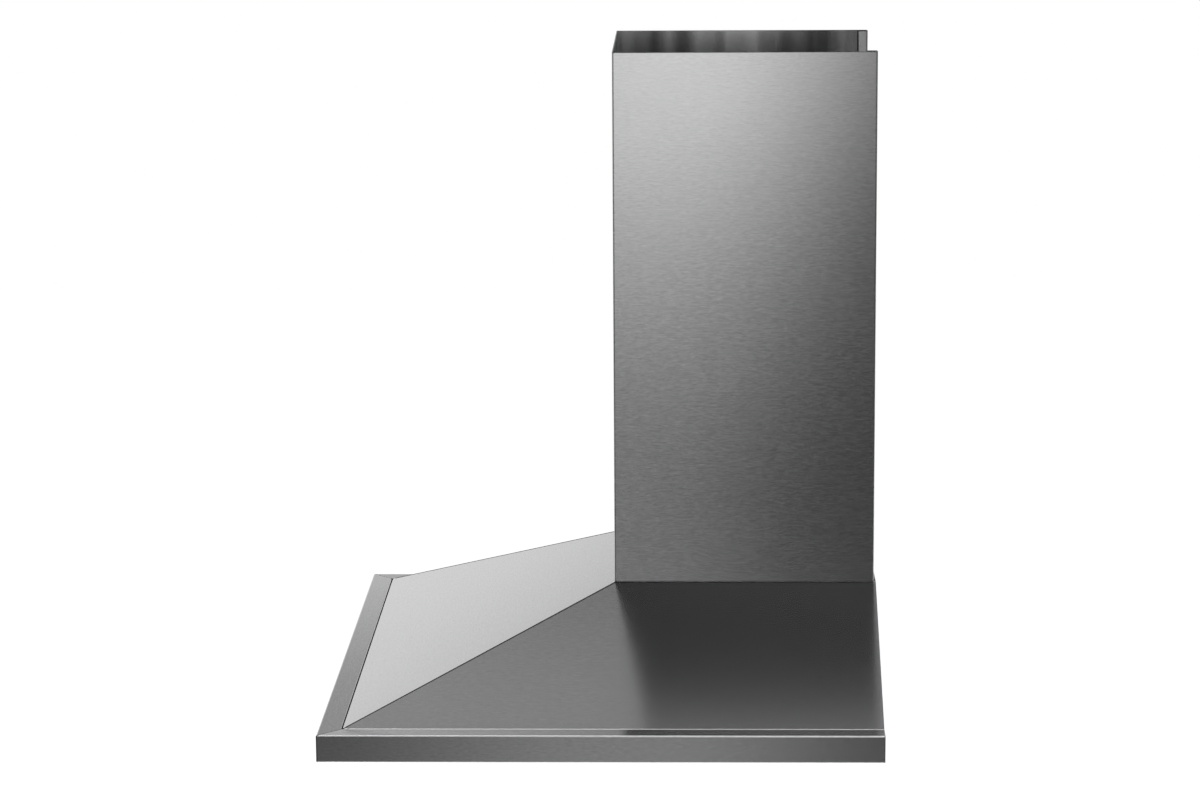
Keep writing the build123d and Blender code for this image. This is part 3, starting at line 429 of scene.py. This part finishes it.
def circuit_board():
    """Green solder mask with faint tracks under it."""
    made, graph = material("circuit_board")
    tracks = graph.add(
        "ShaderNodeTexBrick",
        {"offset": 0.5},
        Vector=graph.place(),
        Scale=260.0,
        Mortar_Size=0.12,
        Color1=(0.012, 0.11, 0.05, 1),
        Color2=(0.016, 0.14, 0.06, 1),
        Mortar=(0.03, 0.24, 0.1, 1),
    )
    flow = graph.noise(scale=300.0)
    shader = graph.add(
        "ShaderNodeBsdfPrincipled",
        Base_Color=tracks.outputs["Color"],
        Roughness=graph.spread(flow, low=0.2, high=0.34),
        Normal=graph.bump(tracks.outputs["Fac"], strength=0.3, distance=0.00004),
    )
    graph.finish(shader.outputs[0])
    return made


def motor_lacquer():
    """Dark lacquer over stacked laminations, whose edges run round the motor."""
    made, graph = material("motor_steel")
    layers = graph.add(
        "ShaderNodeTexWave", {"bands_direction": "X"}, Vector=graph.place(), Scale=160.0, Distortion=0.4
    ).outputs["Fac"]
    dust = graph.noise(scale=90.0, detail=4.0)
    shader = graph.add(
        "ShaderNodeBsdfPrincipled",
        Base_Color=tinted(graph, (0.11, 0.11, 0.12), low=0.7, high=1.25, value=layers),
        Metallic=0.55,
        Roughness=graph.spread(dust, low=0.34, high=0.5),
        Normal=graph.bump(layers, strength=0.35, distance=0.0002),
    )
    graph.finish(shader.outputs[0])
    return made


def copper_wire():
    """Lacquered copper wire, wound side by side."""
    made, graph = material("copper_wire")
    turns = graph.add(
        "ShaderNodeTexWave", {"bands_direction": "X"}, Vector=graph.place(), Scale=420.0, Distortion=1.5
    ).outputs["Fac"]
    shader = graph.add(
        "ShaderNodeBsdfPrincipled",
        Base_Color=tinted(graph, (0.72, 0.3, 0.14), low=0.45, high=1.1, value=turns),
        Metallic=1.0,
        Roughness=graph.spread(turns, low=0.42, high=0.26),
        Normal=graph.bump(turns, strength=0.5, distance=0.0003),
    )
    graph.finish(shader.outputs[0])
    return made


def led_phosphor():
    """The yellow phosphor of an unlit LED."""
    made, graph = material("led_phosphor")
    grains = graph.noise(scale=2600.0, detail=2.0)
    shader = graph.add(
        "ShaderNodeBsdfPrincipled",
        Base_Color=tinted(graph, (0.86, 0.66, 0.12), low=0.85, high=1.08, value=grains),
        Roughness=graph.spread(grains, low=0.3, high=0.45),
        Normal=graph.bump(grains, strength=0.2, distance=0.00005),
    )
    graph.finish(shader.outputs[0])
    return made


# The steel of each stainless node. The rest have their grain along X.
STEEL_OF_NODE = {
    "canopy_side_left": "side",
    "canopy_side_right": "side",
    "lower_chimney_cover": "cover",
    "upper_chimney_cover": "cover",
    "filter_frame_left": "y",
    "filter_frame_right": "y",
    "filter_baffles_left": "y",
    "filter_baffles_right": "y",
}


def finish_frame():
    """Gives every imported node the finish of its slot."""
    finishes = {
        "zinc_sheet": zinc_sheet(),
        "aluminium": satin_metal("aluminium", (0.75, 0.75, 0.76), roughness=0.33),
        "black_plastic": moulded_plastic("black_plastic", (0.035, 0.035, 0.038), roughness=0.42),
        "grey_plastic": moulded_plastic("grey_plastic", (0.2, 0.21, 0.22), roughness=0.45),
        "white_plastic": moulded_plastic("white_plastic", (0.8, 0.8, 0.78), roughness=0.4),
        "lamp_glass": frosted_lens(),
        "circuit_board": circuit_board(),
        "motor_steel": motor_lacquer(),
        "screws": satin_metal("screws", (0.7, 0.7, 0.7), roughness=0.24, grain_scale=900.0),
    }
    steels = {
        "x": brushed_steel("stainless_x", "x"),
        "y": brushed_steel("stainless_y", "y"),
        "side": brushed_steel("stainless_side", "y", bowed="canopy_side_right"),
        "cover": brushed_steel("stainless_cover", "level", hollow="lower_chimney_cover"),
    }
    slots = {part["node"]: part["material_slot"] for part in frame["record"]["subparts"]}
    for name, node in frame["nodes"].items():
        slot = slots[name]
        chosen = steels[STEEL_OF_NODE.get(name, "x")] if slot == "stainless" else finishes[slot]
        node.data.materials.clear()
        node.data.materials.append(chosen)
    return finishes, steels


# ---------------------------------------------------------------- small pieces

SCREW_HEAD_RADIUS = 0.0035
SCREW_HEAD_HEIGHT = 0.0018
SCREW_SHANK_RADIUS = 0.0019
SCREW_RECESS_DEPTH = 0.0013
SCREW_RECESS_REACH = 0.0021
SCREW_RECESS_HALF = 0.00045
# The floor of the recess, as shares of its reach and half width.
SCREW_RECESS_FLOOR = (0.5, 0.6)
SCREW_THREAD_PITCH = 0.0006
SCREW_THREAD_ROOT = 0.84
DECK_SCREW_GRIP = 0.0023
BLOWER_SCREW_GRIP = 0.002
MOTOR_SCREW_GRIP = 0.0023
COLLAR_SCREW_GRIP = 0.0032
LID_SCREW_SCALE = 0.65
LID_SCREW_INSET = 0.005
RING_STEPS = 24
FINE_RING_STEPS = 48
MERGE_DISTANCE = 1e-6
THIRTY_DEGREES = math.radians(30)
# The outline of a pan head, from its flat top to its seat, as shares of its radius and height.
SCREW_HEAD_PROFILE = ((0.72, 1.0), (0.9, 0.84), (0.98, 0.6), (1.0, 0.3), (1.0, 0.0))
# How far each screw is turned from the one before, in degrees.
SCREW_TURN = 37


def circle(radius, height, steps=RING_STEPS):
    turns = [2 * math.pi * step / steps for step in range(steps)]
    return [Vector((radius * math.cos(turn), radius * math.sin(turn), height)) for turn in turns]


def cross(reach, half, height):
    """The outline of a cross recess, with as many points as a circle has."""
    middle = (reach + half) / 2
    arm = [(reach, 0), (reach, half), (middle, half), (half, half), (half, middle), (half, reach)]
    outline = []
    for _ in range(4):
        outline += [Vector((x, y, height)) for x, y in arm]
        arm = [(-y, x) for x, y in arm]
    return outline


def skin(mesh, rings, placing=Matrix(), close=True):
    """Joins rings of points into a skin. A closed one has a face over its first and last rings."""
    loops = [[mesh.verts.new(placing @ point) for point in ring] for ring in rings]
    for near, far in zip(loops, loops[1:]):
        for index, corner in enumerate(near):
            after = (index + 1) % len(near)
            mesh.faces.new((corner, near[after], far[after], far[index]))
    if close:
        mesh.faces.new(loops[0][::-1])
        mesh.faces.new(loops[-1])


def facing(place, way, turn=0.0):
    """Puts a piece drawn about the Z axis at a place, with its Z axis along a way."""
    standing = Vector(way).to_track_quat("Z", "Y").to_matrix().to_4x4()
    return Matrix.Translation(place) @ standing @ Matrix.Rotation(math.radians(turn), 4, "Z")


def piece(name, mesh, finish, body="root", stands_for=()):
    """Makes a piece from a mesh, lets it ride on a body, and hides the nodes that it stands for."""
    bmesh.ops.recalc_face_normals(mesh, faces=mesh.faces)
    data = bpy.data.meshes.new(name)
    mesh.to_mesh(data)
    mesh.free()
    data.materials.append(finish)
    made = bpy.data.objects.new(name, data)
    bpy.context.scene.collection.objects.link(made)
    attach(made, body)
    if stands_for:
        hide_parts(*stands_for)


def add_screw(mesh, place, way, grip, turn, scale=1.0):
    """A pan-head screw with a cross recess. Its head stands at the place and faces the way."""
    top = SCREW_HEAD_HEIGHT * scale
    radius = SCREW_HEAD_RADIUS * scale
    shank = SCREW_SHANK_RADIUS * scale
    reach, half = SCREW_RECESS_REACH * scale, SCREW_RECESS_HALF * scale
    floor_reach, floor_half = SCREW_RECESS_FLOOR
    rings = [
        cross(reach * floor_reach, half * floor_half, top - SCREW_RECESS_DEPTH * scale),
        cross(reach, half, top),
    ]
    rings += [circle(radius * across, top * up) for across, up in SCREW_HEAD_PROFILE]
    rings.append(circle(shank, 0))
    steps = int(2 * grip / SCREW_THREAD_PITCH)
    for step in range(1, steps + 1):
        rings.append(circle(shank * (SCREW_THREAD_ROOT if step % 2 else 1.0), -grip * step / steps))
    skin(mesh, rings, facing(place, way, turn))


def screw_places():
    """Each screw's place, the way its head faces and its grip, for each node of screws."""
    edge = SCREW_HEAD_RADIUS
    low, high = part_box("deck_screws")
    level = (low.z + high.z) / 2
    seat = high.x - DECK_SCREW_GRIP
    deck = [
        ((side * seat, y, level), (-side, 0, 0), DECK_SCREW_GRIP)
        for side in (-1, 1)
        for y in (low.y + edge, high.y - edge)
    ]
    low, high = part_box("blower_screws")
    blower = [
        ((x, y, low.z + SCREW_HEAD_HEIGHT), (0, 0, -1), BLOWER_SCREW_GRIP)
        for x in (low.x + edge, high.x - edge)
        for y in (low.y + edge, high.y - edge)
    ]
    low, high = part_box("collar_screws")
    collar = [
        ((x, y, high.z - SCREW_HEAD_HEIGHT), (0, 0, 1), COLLAR_SCREW_GRIP)
        for x in (low.x + edge, high.x - edge)
        for y in (low.y + edge, high.y - edge)
    ]
    # Three screws stand evenly round the motor, one above and two below.
    low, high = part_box("motor_screws")
    middle = (low.y + high.y) / 2
    side = (high.y - low.y) / 2 - edge
    top = high.z - edge
    foot = top - side / math.cos(THIRTY_DEGREES) * (1 + math.sin(THIRTY_DEGREES))
    motor = [
        ((low.x + SCREW_HEAD_HEIGHT, y, z), (-1, 0, 0), MOTOR_SCREW_GRIP)
        for y, z in ((middle, top), (middle - side, foot), (middle + side, foot))
    ]
    return {"deck_screws": deck, "blower_screws": blower, "collar_screws": collar, "motor_screws": motor}


def make_screws(finishes):
    for node, places in screw_places().items():
        mesh = bmesh.new()
        for number, (place, way, grip) in enumerate(places):
            add_screw(mesh, place, way, grip, number * SCREW_TURN)
        piece(f"cross_{node}", mesh, finishes["screws"], stands_for=(node,))
    low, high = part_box("junction_box_lid")
    mesh = bmesh.new()
    inset = LID_SCREW_INSET
    corners = [(x, y) for x in (low.x + inset, high.x - inset) for y in (low.y + inset, high.y - inset)]
    for number, (x, y) in enumerate(corners):
        add_screw(mesh, (x, y, high.z), (0, 0, 1), high.z - low.z, number * SCREW_TURN, LID_SCREW_SCALE)
    piece("lid_screws", mesh, finishes["screws"])


GLAND_BORE = 0.0045
GLAND_THREAD_DEPTH = 0.0005
GLAND_THREAD_STEPS = 16
GLAND_NUT_BOTTOM = 0.0055
GLAND_NUT_HEIGHT = 0.005
GLAND_NUT_CHAMFER = 0.0007
GLAND_BARREL_SHARE = 0.8
SEAL_LAP = 0.0012
SEAL_SUNK = 0.0008


def hexagon(radius, height):
    """A hexagon drawn with as many points as a circle has."""
    points = []
    for flat in circle(1.0, 0):
        turn = math.atan2(flat.y, flat.x) % (2 * THIRTY_DEGREES) - THIRTY_DEGREES
        reach = radius * math.cos(THIRTY_DEGREES) / math.cos(turn)
        points.append(flat * reach + Vector((0, 0, height)))
    return points


def make_gland(finishes):
    """The mains inlet: a threaded barrel with a chamfered nut, and a soft seal in its mouth."""
    low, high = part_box("cable_gland")
    middle = (low + high) / 2
    foot = Matrix.Translation((middle.x, middle.y, low.z))
    height = high.z - low.z
    radius = (high.y - low.y) / 2 / math.cos(THIRTY_DEGREES)
    nut = min(radius, (high.x - low.x) / 2)
    barrel = nut * GLAND_BARREL_SHARE
    mesh = bmesh.new()
    rings = [circle(GLAND_BORE, height), circle(GLAND_BORE, 0)]
    for step in range(GLAND_THREAD_STEPS + 1):
        depth = GLAND_THREAD_DEPTH if step % 2 else 0.0
        rings.append(circle(barrel - depth, height * step / GLAND_THREAD_STEPS))
    rings.append(circle(GLAND_BORE, height))
    skin(mesh, rings, foot, close=False)
    nut_top = GLAND_NUT_BOTTOM + GLAND_NUT_HEIGHT
    chamfered = nut * math.cos(THIRTY_DEGREES)
    rings = [
        circle(barrel - GLAND_THREAD_DEPTH, GLAND_NUT_BOTTOM),
        hexagon(nut, GLAND_NUT_BOTTOM),
        hexagon(nut, nut_top - GLAND_NUT_CHAMFER),
        circle(chamfered, nut_top),
        circle(barrel - GLAND_THREAD_DEPTH, nut_top),
    ]
    skin(mesh, rings, foot, close=False)
    bmesh.ops.remove_doubles(mesh, verts=mesh.verts, dist=MERGE_DISTANCE)
    piece("threaded_gland", mesh, finishes["grey_plastic"], stands_for=("cable_gland",))
    mesh = bmesh.new()
    seal = [
        circle(GLAND_BORE, height - SEAL_SUNK),
        circle(GLAND_BORE - SEAL_LAP, height - 2 * SEAL_SUNK),
        circle(GLAND_BORE - SEAL_LAP, height - 4 * SEAL_SUNK),
        circle(GLAND_BORE, height - 5 * SEAL_SUNK),
        circle(GLAND_BORE, height - SEAL_SUNK),
    ]
    skin(mesh, seal, foot, close=False)
    bmesh.ops.remove_doubles(mesh, verts=mesh.verts, dist=MERGE_DISTANCE)
    piece("gland_seal", mesh, finishes["black_plastic"])


WINDING_RADIUS = 0.0313
WINDING_BULGE = 0.0009
WINDING_RIPPLE = 0.25
WINDING_STEPS = 14
MOTOR_NOSE_LENGTH = 0.005
MOTOR_CAP_LENGTH = 0.007


def make_windings(copper):
    """The copper turns that show through the notches of the motor's end caps."""
    low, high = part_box("motor_body")
    middle = (low + high) / 2
    starts = {"inner": high.x - MOTOR_NOSE_LENGTH, "outer": low.x + MOTOR_NOSE_LENGTH + MOTOR_CAP_LENGTH}
    for name, start in starts.items():
        rings = []
        for step in range(WINDING_STEPS + 1):
            share = step / WINDING_STEPS
            swell = WINDING_BULGE * math.sin(math.pi * share)
            ripple = WINDING_BULGE * (WINDING_RIPPLE if step % 2 else 0.0)
            radius = WINDING_RADIUS + swell - ripple
            rings.append(circle(radius, -MOTOR_CAP_LENGTH * share, FINE_RING_STEPS))
        mesh = bmesh.new()
        skin(mesh, rings, facing((start, middle.y, middle.z), (1, 0, 0)), close=False)
        piece(f"{name}_winding", mesh, copper)


BLADE_HALF_WIDTH = 0.0024
BLADE_SHEET = 0.0008
BLADE_HEIGHT = 0.008
BLADE_SPACING = 0.006
BLADE_TAPER = 0.0012


def make_terminals(finishes):
    """Two tab terminals on top of the capacitor."""
    low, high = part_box("run_capacitor")
    middle = (low + high) / 2
    mesh = bmesh.new()
    for side in (-1, 1):
        y = middle.y + side * BLADE_SPACING
        rings = []
        for half, level in (
            (BLADE_HALF_WIDTH, high.z),
            (BLADE_HALF_WIDTH, high.z + BLADE_HEIGHT - BLADE_TAPER),
            (BLADE_HALF_WIDTH - BLADE_TAPER, high.z + BLADE_HEIGHT),
        ):
            thick = BLADE_SHEET / 2
            corners = ((half, thick), (-half, thick), (-half, -thick), (half, -thick))
            rings.append([Vector((middle.x + x, y + out, level)) for x, out in corners])
        skin(mesh, rings)
    piece("capacitor_tabs", mesh, finishes["screws"])


LED_BOARD_SHEET = 0.0012
LED_BOARD_GAP = 0.0006
LED_BOARD_SHARE = 0.74
LED_HALF = 0.0014
LED_HEIGHT = 0.0007
LED_TAPER = 0.85
# How many LEDs stand in each ring, and the ring's radius.
LED_RINGS = ((1, 0.0), (6, 0.0085), (12, 0.0165))


def make_led_boards(finishes, phosphor):
    """The white board with its small square LEDs above each frosted lens."""
    for side in ("left", "right"):
        low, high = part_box(f"lamp_body_{side}")
        middle = (low + high) / 2
        face = low.z - LED_BOARD_GAP
        mesh = bmesh.new()
        radius = (high.x - low.x) / 2 * LED_BOARD_SHARE
        rings = [circle(radius, level, FINE_RING_STEPS) for level in (0, -LED_BOARD_SHEET)]
        skin(mesh, rings, Matrix.Translation((middle.x, middle.y, face)))
        piece(f"led_board_{side}", mesh, finishes["white_plastic"])
        mesh = bmesh.new()
        corners = ((1, 1), (-1, 1), (-1, -1), (1, -1))
        base = [Vector((x * LED_HALF, y * LED_HALF, 0)) for x, y in corners]
        lens = [point * LED_TAPER + Vector((0, 0, LED_HEIGHT)) for point in base]
        seat = (middle.x, middle.y, face - LED_BOARD_SHEET)
        for count, reach in LED_RINGS:
            for turn in range(count):
                placing = facing(seat, (0, 0, -1), 360 * turn / count)
                skin(mesh, [base, lens], placing @ Matrix.Translation((reach, 0, 0)))
        piece(f"leds_{side}", mesh, phosphor)


WELD_RADIUS = 0.0022
WELD_HEIGHT = 0.00025
# The shallow cup of a weld, as shares of its radius and height.
WELD_PROFILE = ((1.0, 0.0), (0.75, 1.0), (0.45, 0.3))
WELD_INSET = 0.005
FILTER_PIN_REACH = 0.0024


def make_welds(steels):
    """The shallow spot welds at the corners of each filter frame, on its lower face."""
    for side in ("left", "right"):
        low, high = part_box(f"filter_frame_{side}")
        xs = (low.x + FILTER_PIN_REACH + WELD_INSET, high.x - FILTER_PIN_REACH - WELD_INSET)
        ys = (low.y + WELD_INSET, high.y - WELD_INSET)
        rings = [circle(WELD_RADIUS * across, WELD_HEIGHT * up) for across, up in WELD_PROFILE]
        mesh = bmesh.new()
        for x in xs:
            for y in ys:
                skin(mesh, rings, facing((x, y, low.z), (0, 0, -1)))
        piece(f"spot_welds_{side}", mesh, steels["y"], f"filter_{side}")


# The share of the ridge, from its foot, that has no painted shade strip.
RIDGE_START = 0.012
# The width and height of the painted shade strip.
SHADE_STRIP_WIDTH = 0.0017
SHADE_STRIP_HEIGHT = 0.0003
# The share of the width where the strip starts to run out.
SHADE_STRIP_CROWN = 0.7
# The front panel's tuck below its slope, its flange above the slope, and its sheet.
TUCK_DEPTH = 0.008
NECK_HEIGHT = 0.014
SHEET = 0.0008


def make_ridge_shade_strips(finishes):
    """A dark strip of painted shade along the mitred ridge on each side, on the side slope's edge."""
    low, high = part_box("canopy_front_panel")
    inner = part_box("canopy_side_right")[0].x + SHEET
    foot = Vector((high.x, low.y, low.z + TUCK_DEPTH))
    top = Vector((inner, high.y - SHEET, high.z - NECK_HEIGHT))
    down_slope = Vector((foot.x - top.x, 0, foot.z - top.z)).normalized()
    lift = Vector((-down_slope.z, 0, down_slope.x)) * SHADE_STRIP_HEIGHT
    width = down_slope * SHADE_STRIP_WIDTH
    mesh = bmesh.new()
    for side in (-1, 1):
        rings = []
        for share in (RIDGE_START, 1.0):
            edge = foot + (top - foot) * share
            ring = [edge, edge + lift, edge + width * SHADE_STRIP_CROWN + lift, edge + width]
            rings.append([Vector((side * point.x, point.y, point.z)) for point in ring])
        skin(mesh, rings)
    piece("ridge_shade_strips", mesh, finishes["black_plastic"])


# ---------------------------------------------------------------- studio

FLOOR_LEVEL = -1.1
FLOOR_HALF = 9.0
CARD_HALF_LENGTH = 4.0
SIDE_CARD_DISTANCE = 1.6
SIDE_CARD_TOP = 1.9
SKY_RADIUS = 3.2
SKY_STEPS = 48
SOFT_LIGHT = 0.55
FLOOR_TONE = (0.93, 0.93, 0.93)
# How bright the seen floor glows, and how much of its look is that glow. The rest is its paint and shadow.
FLOOR_GLOW = 1.22
FLOOR_GLOW_SHARE = 0.7

# Brightness of the sky by its angle in degrees, from the backdrop over the top to the camera's side.
SKY_LEVELS = (
    (0, 0.92), (9, 0.87), (12, 0.71), (16, 0.38), (22, 0.32), (30, 1.0), (46, 1.0), (56, 0.42),
    (66, 0.06), (80, 0.7), (87, 0.18), (97, 0.02), (108, 0.03), (118, 0.1), (140, 0.12), (180, 0.08),
)
# The part of the sky that dims towards the wall, by angle, and how it dims by Y in metres.
SKY_SHADE_ANGLES = ((0, 0), (22, 0), (30, 1), (48, 1), (62, 0.3), (90, 0.3), (98, 0), (180, 0))
SKY_SHADE_SIDES = ((-1.4, 1.05), (-0.8, 0.95), (-0.5, 0.64), (-0.3, 0.43), (0.6, 0.25), (1.2, 0.25))
# Brightness of the lamp's glow on the side card by height in metres.
GLOW_LEVELS = (
    (-0.6, 0.235), (-0.38, 0.235), (-0.2, 0.095), (0.0, 0.16), (0.15, 0.28),
    (0.3, 0.74), (0.45, 1.24), (0.65, 1.1), (0.85, 0.4), (1.2, 0.25), (1.6, 0.2),
)
# Where the glow ends and where it is full, by Y in metres at each side.
GLOW_SIDES = ((-0.93, -0.48), (-0.09, -0.43))
# How far the glow lies towards the wall, by height in metres.
GLOW_SHIFTS = (
    (-0.6, 0.13), (-0.3, 0.13), (-0.15, 0.11), (0.0, 0.14),
    (0.14, 0.165), (0.34, 0.215), (0.45, 0.26), (1.6, 0.55),
)
# Brightness of the side card round the glow, by height in metres.
CARD_LEVELS = (
    (-0.6, 0.115), (-0.38, 0.115), (-0.2, 0.035), (0.1, 0.05),
    (0.3, 0.1), (0.5, 0.25), (0.8, 0.15), (1.2, 0.06),
)
# Brightness of the front and rear walls, by which way they lie along Y.
END_CARD_LEVELS = {-1: 0.55, 1: 0.2}
# The under card's reach along X and then along Y.
UNDER_CARD_SIDES = (0.32, 1.55, -1.0, 0.5)
UNDER_CARD_HEIGHT = -0.9
UNDER_CARD_LEVEL = 0.2
LAMP_TARGET = (0, -0.25, 0.3)
# Each lamp's name, place, size and power in watts.
LAMPS = (
    ("lamp_overhead", (0.3, -0.6, 2.6), (2.4, 2.4), 40),
    ("lamp_front", (1.6, -2.4, 1.2), (1.6, 1.6), 22),
    ("lamp_rear", (-1.4, 1.9, 1.4), (1.6, 1.6), 45),
    ("lamp_below", (0.2, -0.8, -1.0), (2.0, 2.0), 12),
)


def flat_mesh(name, corners):
    mesh = bpy.data.meshes.new(name)
    mesh.from_pydata([Vector(corner) for corner in corners], [], [tuple(range(len(corners)))])
    item = bpy.data.objects.new(name, mesh)
    bpy.context.scene.collection.objects.link(item)
    return item


def levels(graph, value, stops):
    """Brightness that follows a value through a list of (value, brightness) stops."""
    low, high = stops[0][0], stops[-1][0]
    most = max(level for _, level in stops)
    share = graph.add("ShaderNodeMapRange", Value=value)
    graph.put(share, "From Min", low)
    graph.put(share, "From Max", high)
    ramp = graph.add("ShaderNodeValToRGB", Fac=share.outputs[0])
    marks = ramp.color_ramp.elements
    while len(marks) < len(stops):
        marks.new(0.5)
    for mark, (place, level) in zip(marks, stops):
        mark.position = (place - low) / (high - low)
        mark.color = grey(level / most)
    return graph.math("MULTIPLY", ramp.outputs["Color"], most)


def seen_plainly(graph):
    """1 for the camera and for rays off metal or through glass, 0 for the rest."""
    rays = graph.add("ShaderNodeLightPath").outputs
    seen = graph.math("MAXIMUM", rays["Is Camera Ray"], rays["Is Glossy Ray"])
    return graph.math("MAXIMUM", seen, rays["Is Transmission Ray"])


def make_floor():
    """A wide pale floor, well below the hood. From below it lets the view through."""
    far = FLOOR_HALF
    floor = flat_mesh(
        "floor",
        [(x, y, FLOOR_LEVEL) for x, y in ((-far, -far), (far, -far), (far, far), (-far, far))],
    )
    made, graph = material("floor_paint")
    wash = graph.noise(scale=0.8)
    paint = tinted(graph, FLOOR_TONE, low=0.985, high=1.0, value=wash)
    painted = graph.add("ShaderNodeBsdfDiffuse", Color=paint)
    white = graph.add("ShaderNodeEmission", Color=grey(1.0), Strength=FLOOR_GLOW)
    shown = graph.add("ShaderNodeMixShader", Fac=FLOOR_GLOW_SHARE)
    graph.put(shown, "1", painted.outputs[0])
    graph.put(shown, "2", white.outputs[0])
    lit = graph.add("ShaderNodeMixShader", Fac=seen_plainly(graph))
    graph.put(lit, "1", painted.outputs[0])
    graph.put(lit, "2", shown.outputs[0])
    behind = graph.add("ShaderNodeNewGeometry").outputs["Backfacing"]
    clear = graph.add("ShaderNodeBsdfTransparent")
    both = graph.add("ShaderNodeMixShader", Fac=behind)
    graph.put(both, "1", lit.outputs[0])
    graph.put(both, "2", clear.outputs[0])
    graph.finish(both.outputs[0])
    floor.data.materials.append(made)


def make_world():
    """White wherever it is seen, and a soft even light otherwise."""
    world = bpy.data.worlds.new("studio")
    bpy.context.scene.world = world
    graph = Graph(world)
    soft = graph.add("ShaderNodeBackground", Color=grey(1.0), Strength=SOFT_LIGHT)
    white = graph.add("ShaderNodeBackground", Color=grey(1.0), Strength=1.0)
    both = graph.add("ShaderNodeMixShader", Fac=seen_plainly(graph))
    graph.put(both, "1", soft.outputs[0])
    graph.put(both, "2", white.outputs[0])
    out = graph.add("ShaderNodeOutputWorld")
    graph.tree.links.new(both.outputs[0], out.inputs["Surface"])


def glowing_card(card, name, level_at):
    """Gives a card its glow. Only metal and gloss see it, and it casts no light or shadow."""
    made, graph = material(name)
    place = graph.add("ShaderNodeSeparateXYZ", Vector=graph.place()).outputs
    shader = graph.add("ShaderNodeEmission", Color=grey(1.0), Strength=level_at(graph, place))
    graph.finish(shader.outputs[0])
    card.data.materials.append(made)
    card.visible_camera = False
    card.visible_diffuse = False
    card.visible_shadow = False
    card.visible_transmission = False


def make_side_card():
    """The dim wall of the studio beside the camera, with the glow of a soft lamp on it."""
    far, low, top = CARD_HALF_LENGTH, FLOOR_LEVEL, SIDE_CARD_TOP
    x = SIDE_CARD_DISTANCE
    card = flat_mesh("side_card", [(x, -far, low), (x, far, low), (x, far, top), (x, -far, top)])

    def level_at(graph, place):
        across = None
        shifted = graph.math("SUBTRACT", place["Y"], levels(graph, place["Z"], GLOW_SHIFTS))
        for dark, bright in GLOW_SIDES:
            side = graph.add("ShaderNodeMapRange", {"interpolation_type": "SMOOTHSTEP"}, Value=shifted)
            graph.put(side, "From Min", dark)
            graph.put(side, "From Max", bright)
            across = side.outputs[0] if across is None else graph.math("MULTIPLY", across, side.outputs[0])
        glow = graph.math("MULTIPLY", across, levels(graph, place["Z"], GLOW_LEVELS))
        return graph.math("ADD", glow, levels(graph, place["Z"], CARD_LEVELS))

    glowing_card(card, "side_card", level_at)


def make_sky():
    """An arched ceiling over the hood, from the backdrop to the camera's side."""
    arc = [math.pi * step / SKY_STEPS for step in range(SKY_STEPS + 1)]
    ring = [(-SKY_RADIUS * math.cos(turn), SKY_RADIUS * math.sin(turn)) for turn in arc]
    corners = [(x, way * CARD_HALF_LENGTH, z) for x, z in ring for way in (-1, 1)]
    faces = [(2 * i, 2 * i + 2, 2 * i + 3, 2 * i + 1) for i in range(SKY_STEPS)]
    mesh = bpy.data.meshes.new("sky")
    mesh.from_pydata(corners, [], faces)
    sky = bpy.data.objects.new("sky", mesh)
    bpy.context.scene.collection.objects.link(sky)

    def level_at(graph, place):
        turn = graph.math("ARCTAN2", place["Z"], graph.math("MULTIPLY", place["X"], -1.0))
        angle = graph.math("DEGREES", turn)
        shade = graph.add("ShaderNodeMix", Factor=levels(graph, angle, SKY_SHADE_ANGLES), A=1.0)
        graph.put(shade, "B", levels(graph, place["Y"], SKY_SHADE_SIDES))
        return graph.math("MULTIPLY", levels(graph, angle, SKY_LEVELS), shade.outputs["Result"])

    glowing_card(sky, "sky", level_at)


def make_under_card():
    """A dim card, low on the camera's side of the hood, mirrored in the bends along its foot."""
    left, right, near, far = UNDER_CARD_SIDES
    z = UNDER_CARD_HEIGHT
    card = flat_mesh("under_card", [(left, near, z), (right, near, z), (right, far, z), (left, far, z)])
    glowing_card(card, "under_card", lambda graph, place: UNDER_CARD_LEVEL)


def make_end_cards():
    """The studio's front and rear walls, under the ends of the arch."""
    arc = [math.pi * step / SKY_STEPS for step in range(SKY_STEPS + 1)]
    for way, level in END_CARD_LEVELS.items():
        y = way * CARD_HALF_LENGTH
        rim = [(-SKY_RADIUS * math.cos(turn), y, SKY_RADIUS * math.sin(turn)) for turn in arc]
        feet = [(SKY_RADIUS, y, FLOOR_LEVEL), (-SKY_RADIUS, y, FLOOR_LEVEL)]
        card = flat_mesh("front_card" if way < 0 else "rear_card", rim + feet)
        glowing_card(card, card.name, lambda graph, place, level=level: level)


def area_lamp(name, place, size, power):
    """A large soft lamp that lights the object but isn't mirrored in it."""
    data = bpy.data.lights.new(name, "AREA")
    data.shape = "RECTANGLE"
    data.size, data.size_y = size
    data.energy = power
    lamp = bpy.data.objects.new(name, data)
    lamp.location = place
    lamp.rotation_euler = (Vector(LAMP_TARGET) - Vector(place)).to_track_quat("-Z", "Y").to_euler()
    lamp.visible_glossy = False
    bpy.context.scene.collection.objects.link(lamp)


# ---------------------------------------------------------------- the scene

make_camera()
make_world()
make_floor()
make_side_card()
make_sky()
make_end_cards()
make_under_card()
for lamp in LAMPS:
    area_lamp(*lamp)
finishes, steels = finish_frame()
make_screws(finishes)
make_gland(finishes)
make_windings(copper_wire())
make_terminals(finishes)
make_led_boards(finishes, led_phosphor())
make_welds(steels)
make_ridge_shade_strips(finishes)
bpy.context.scene.view_settings.view_transform = "Standard"
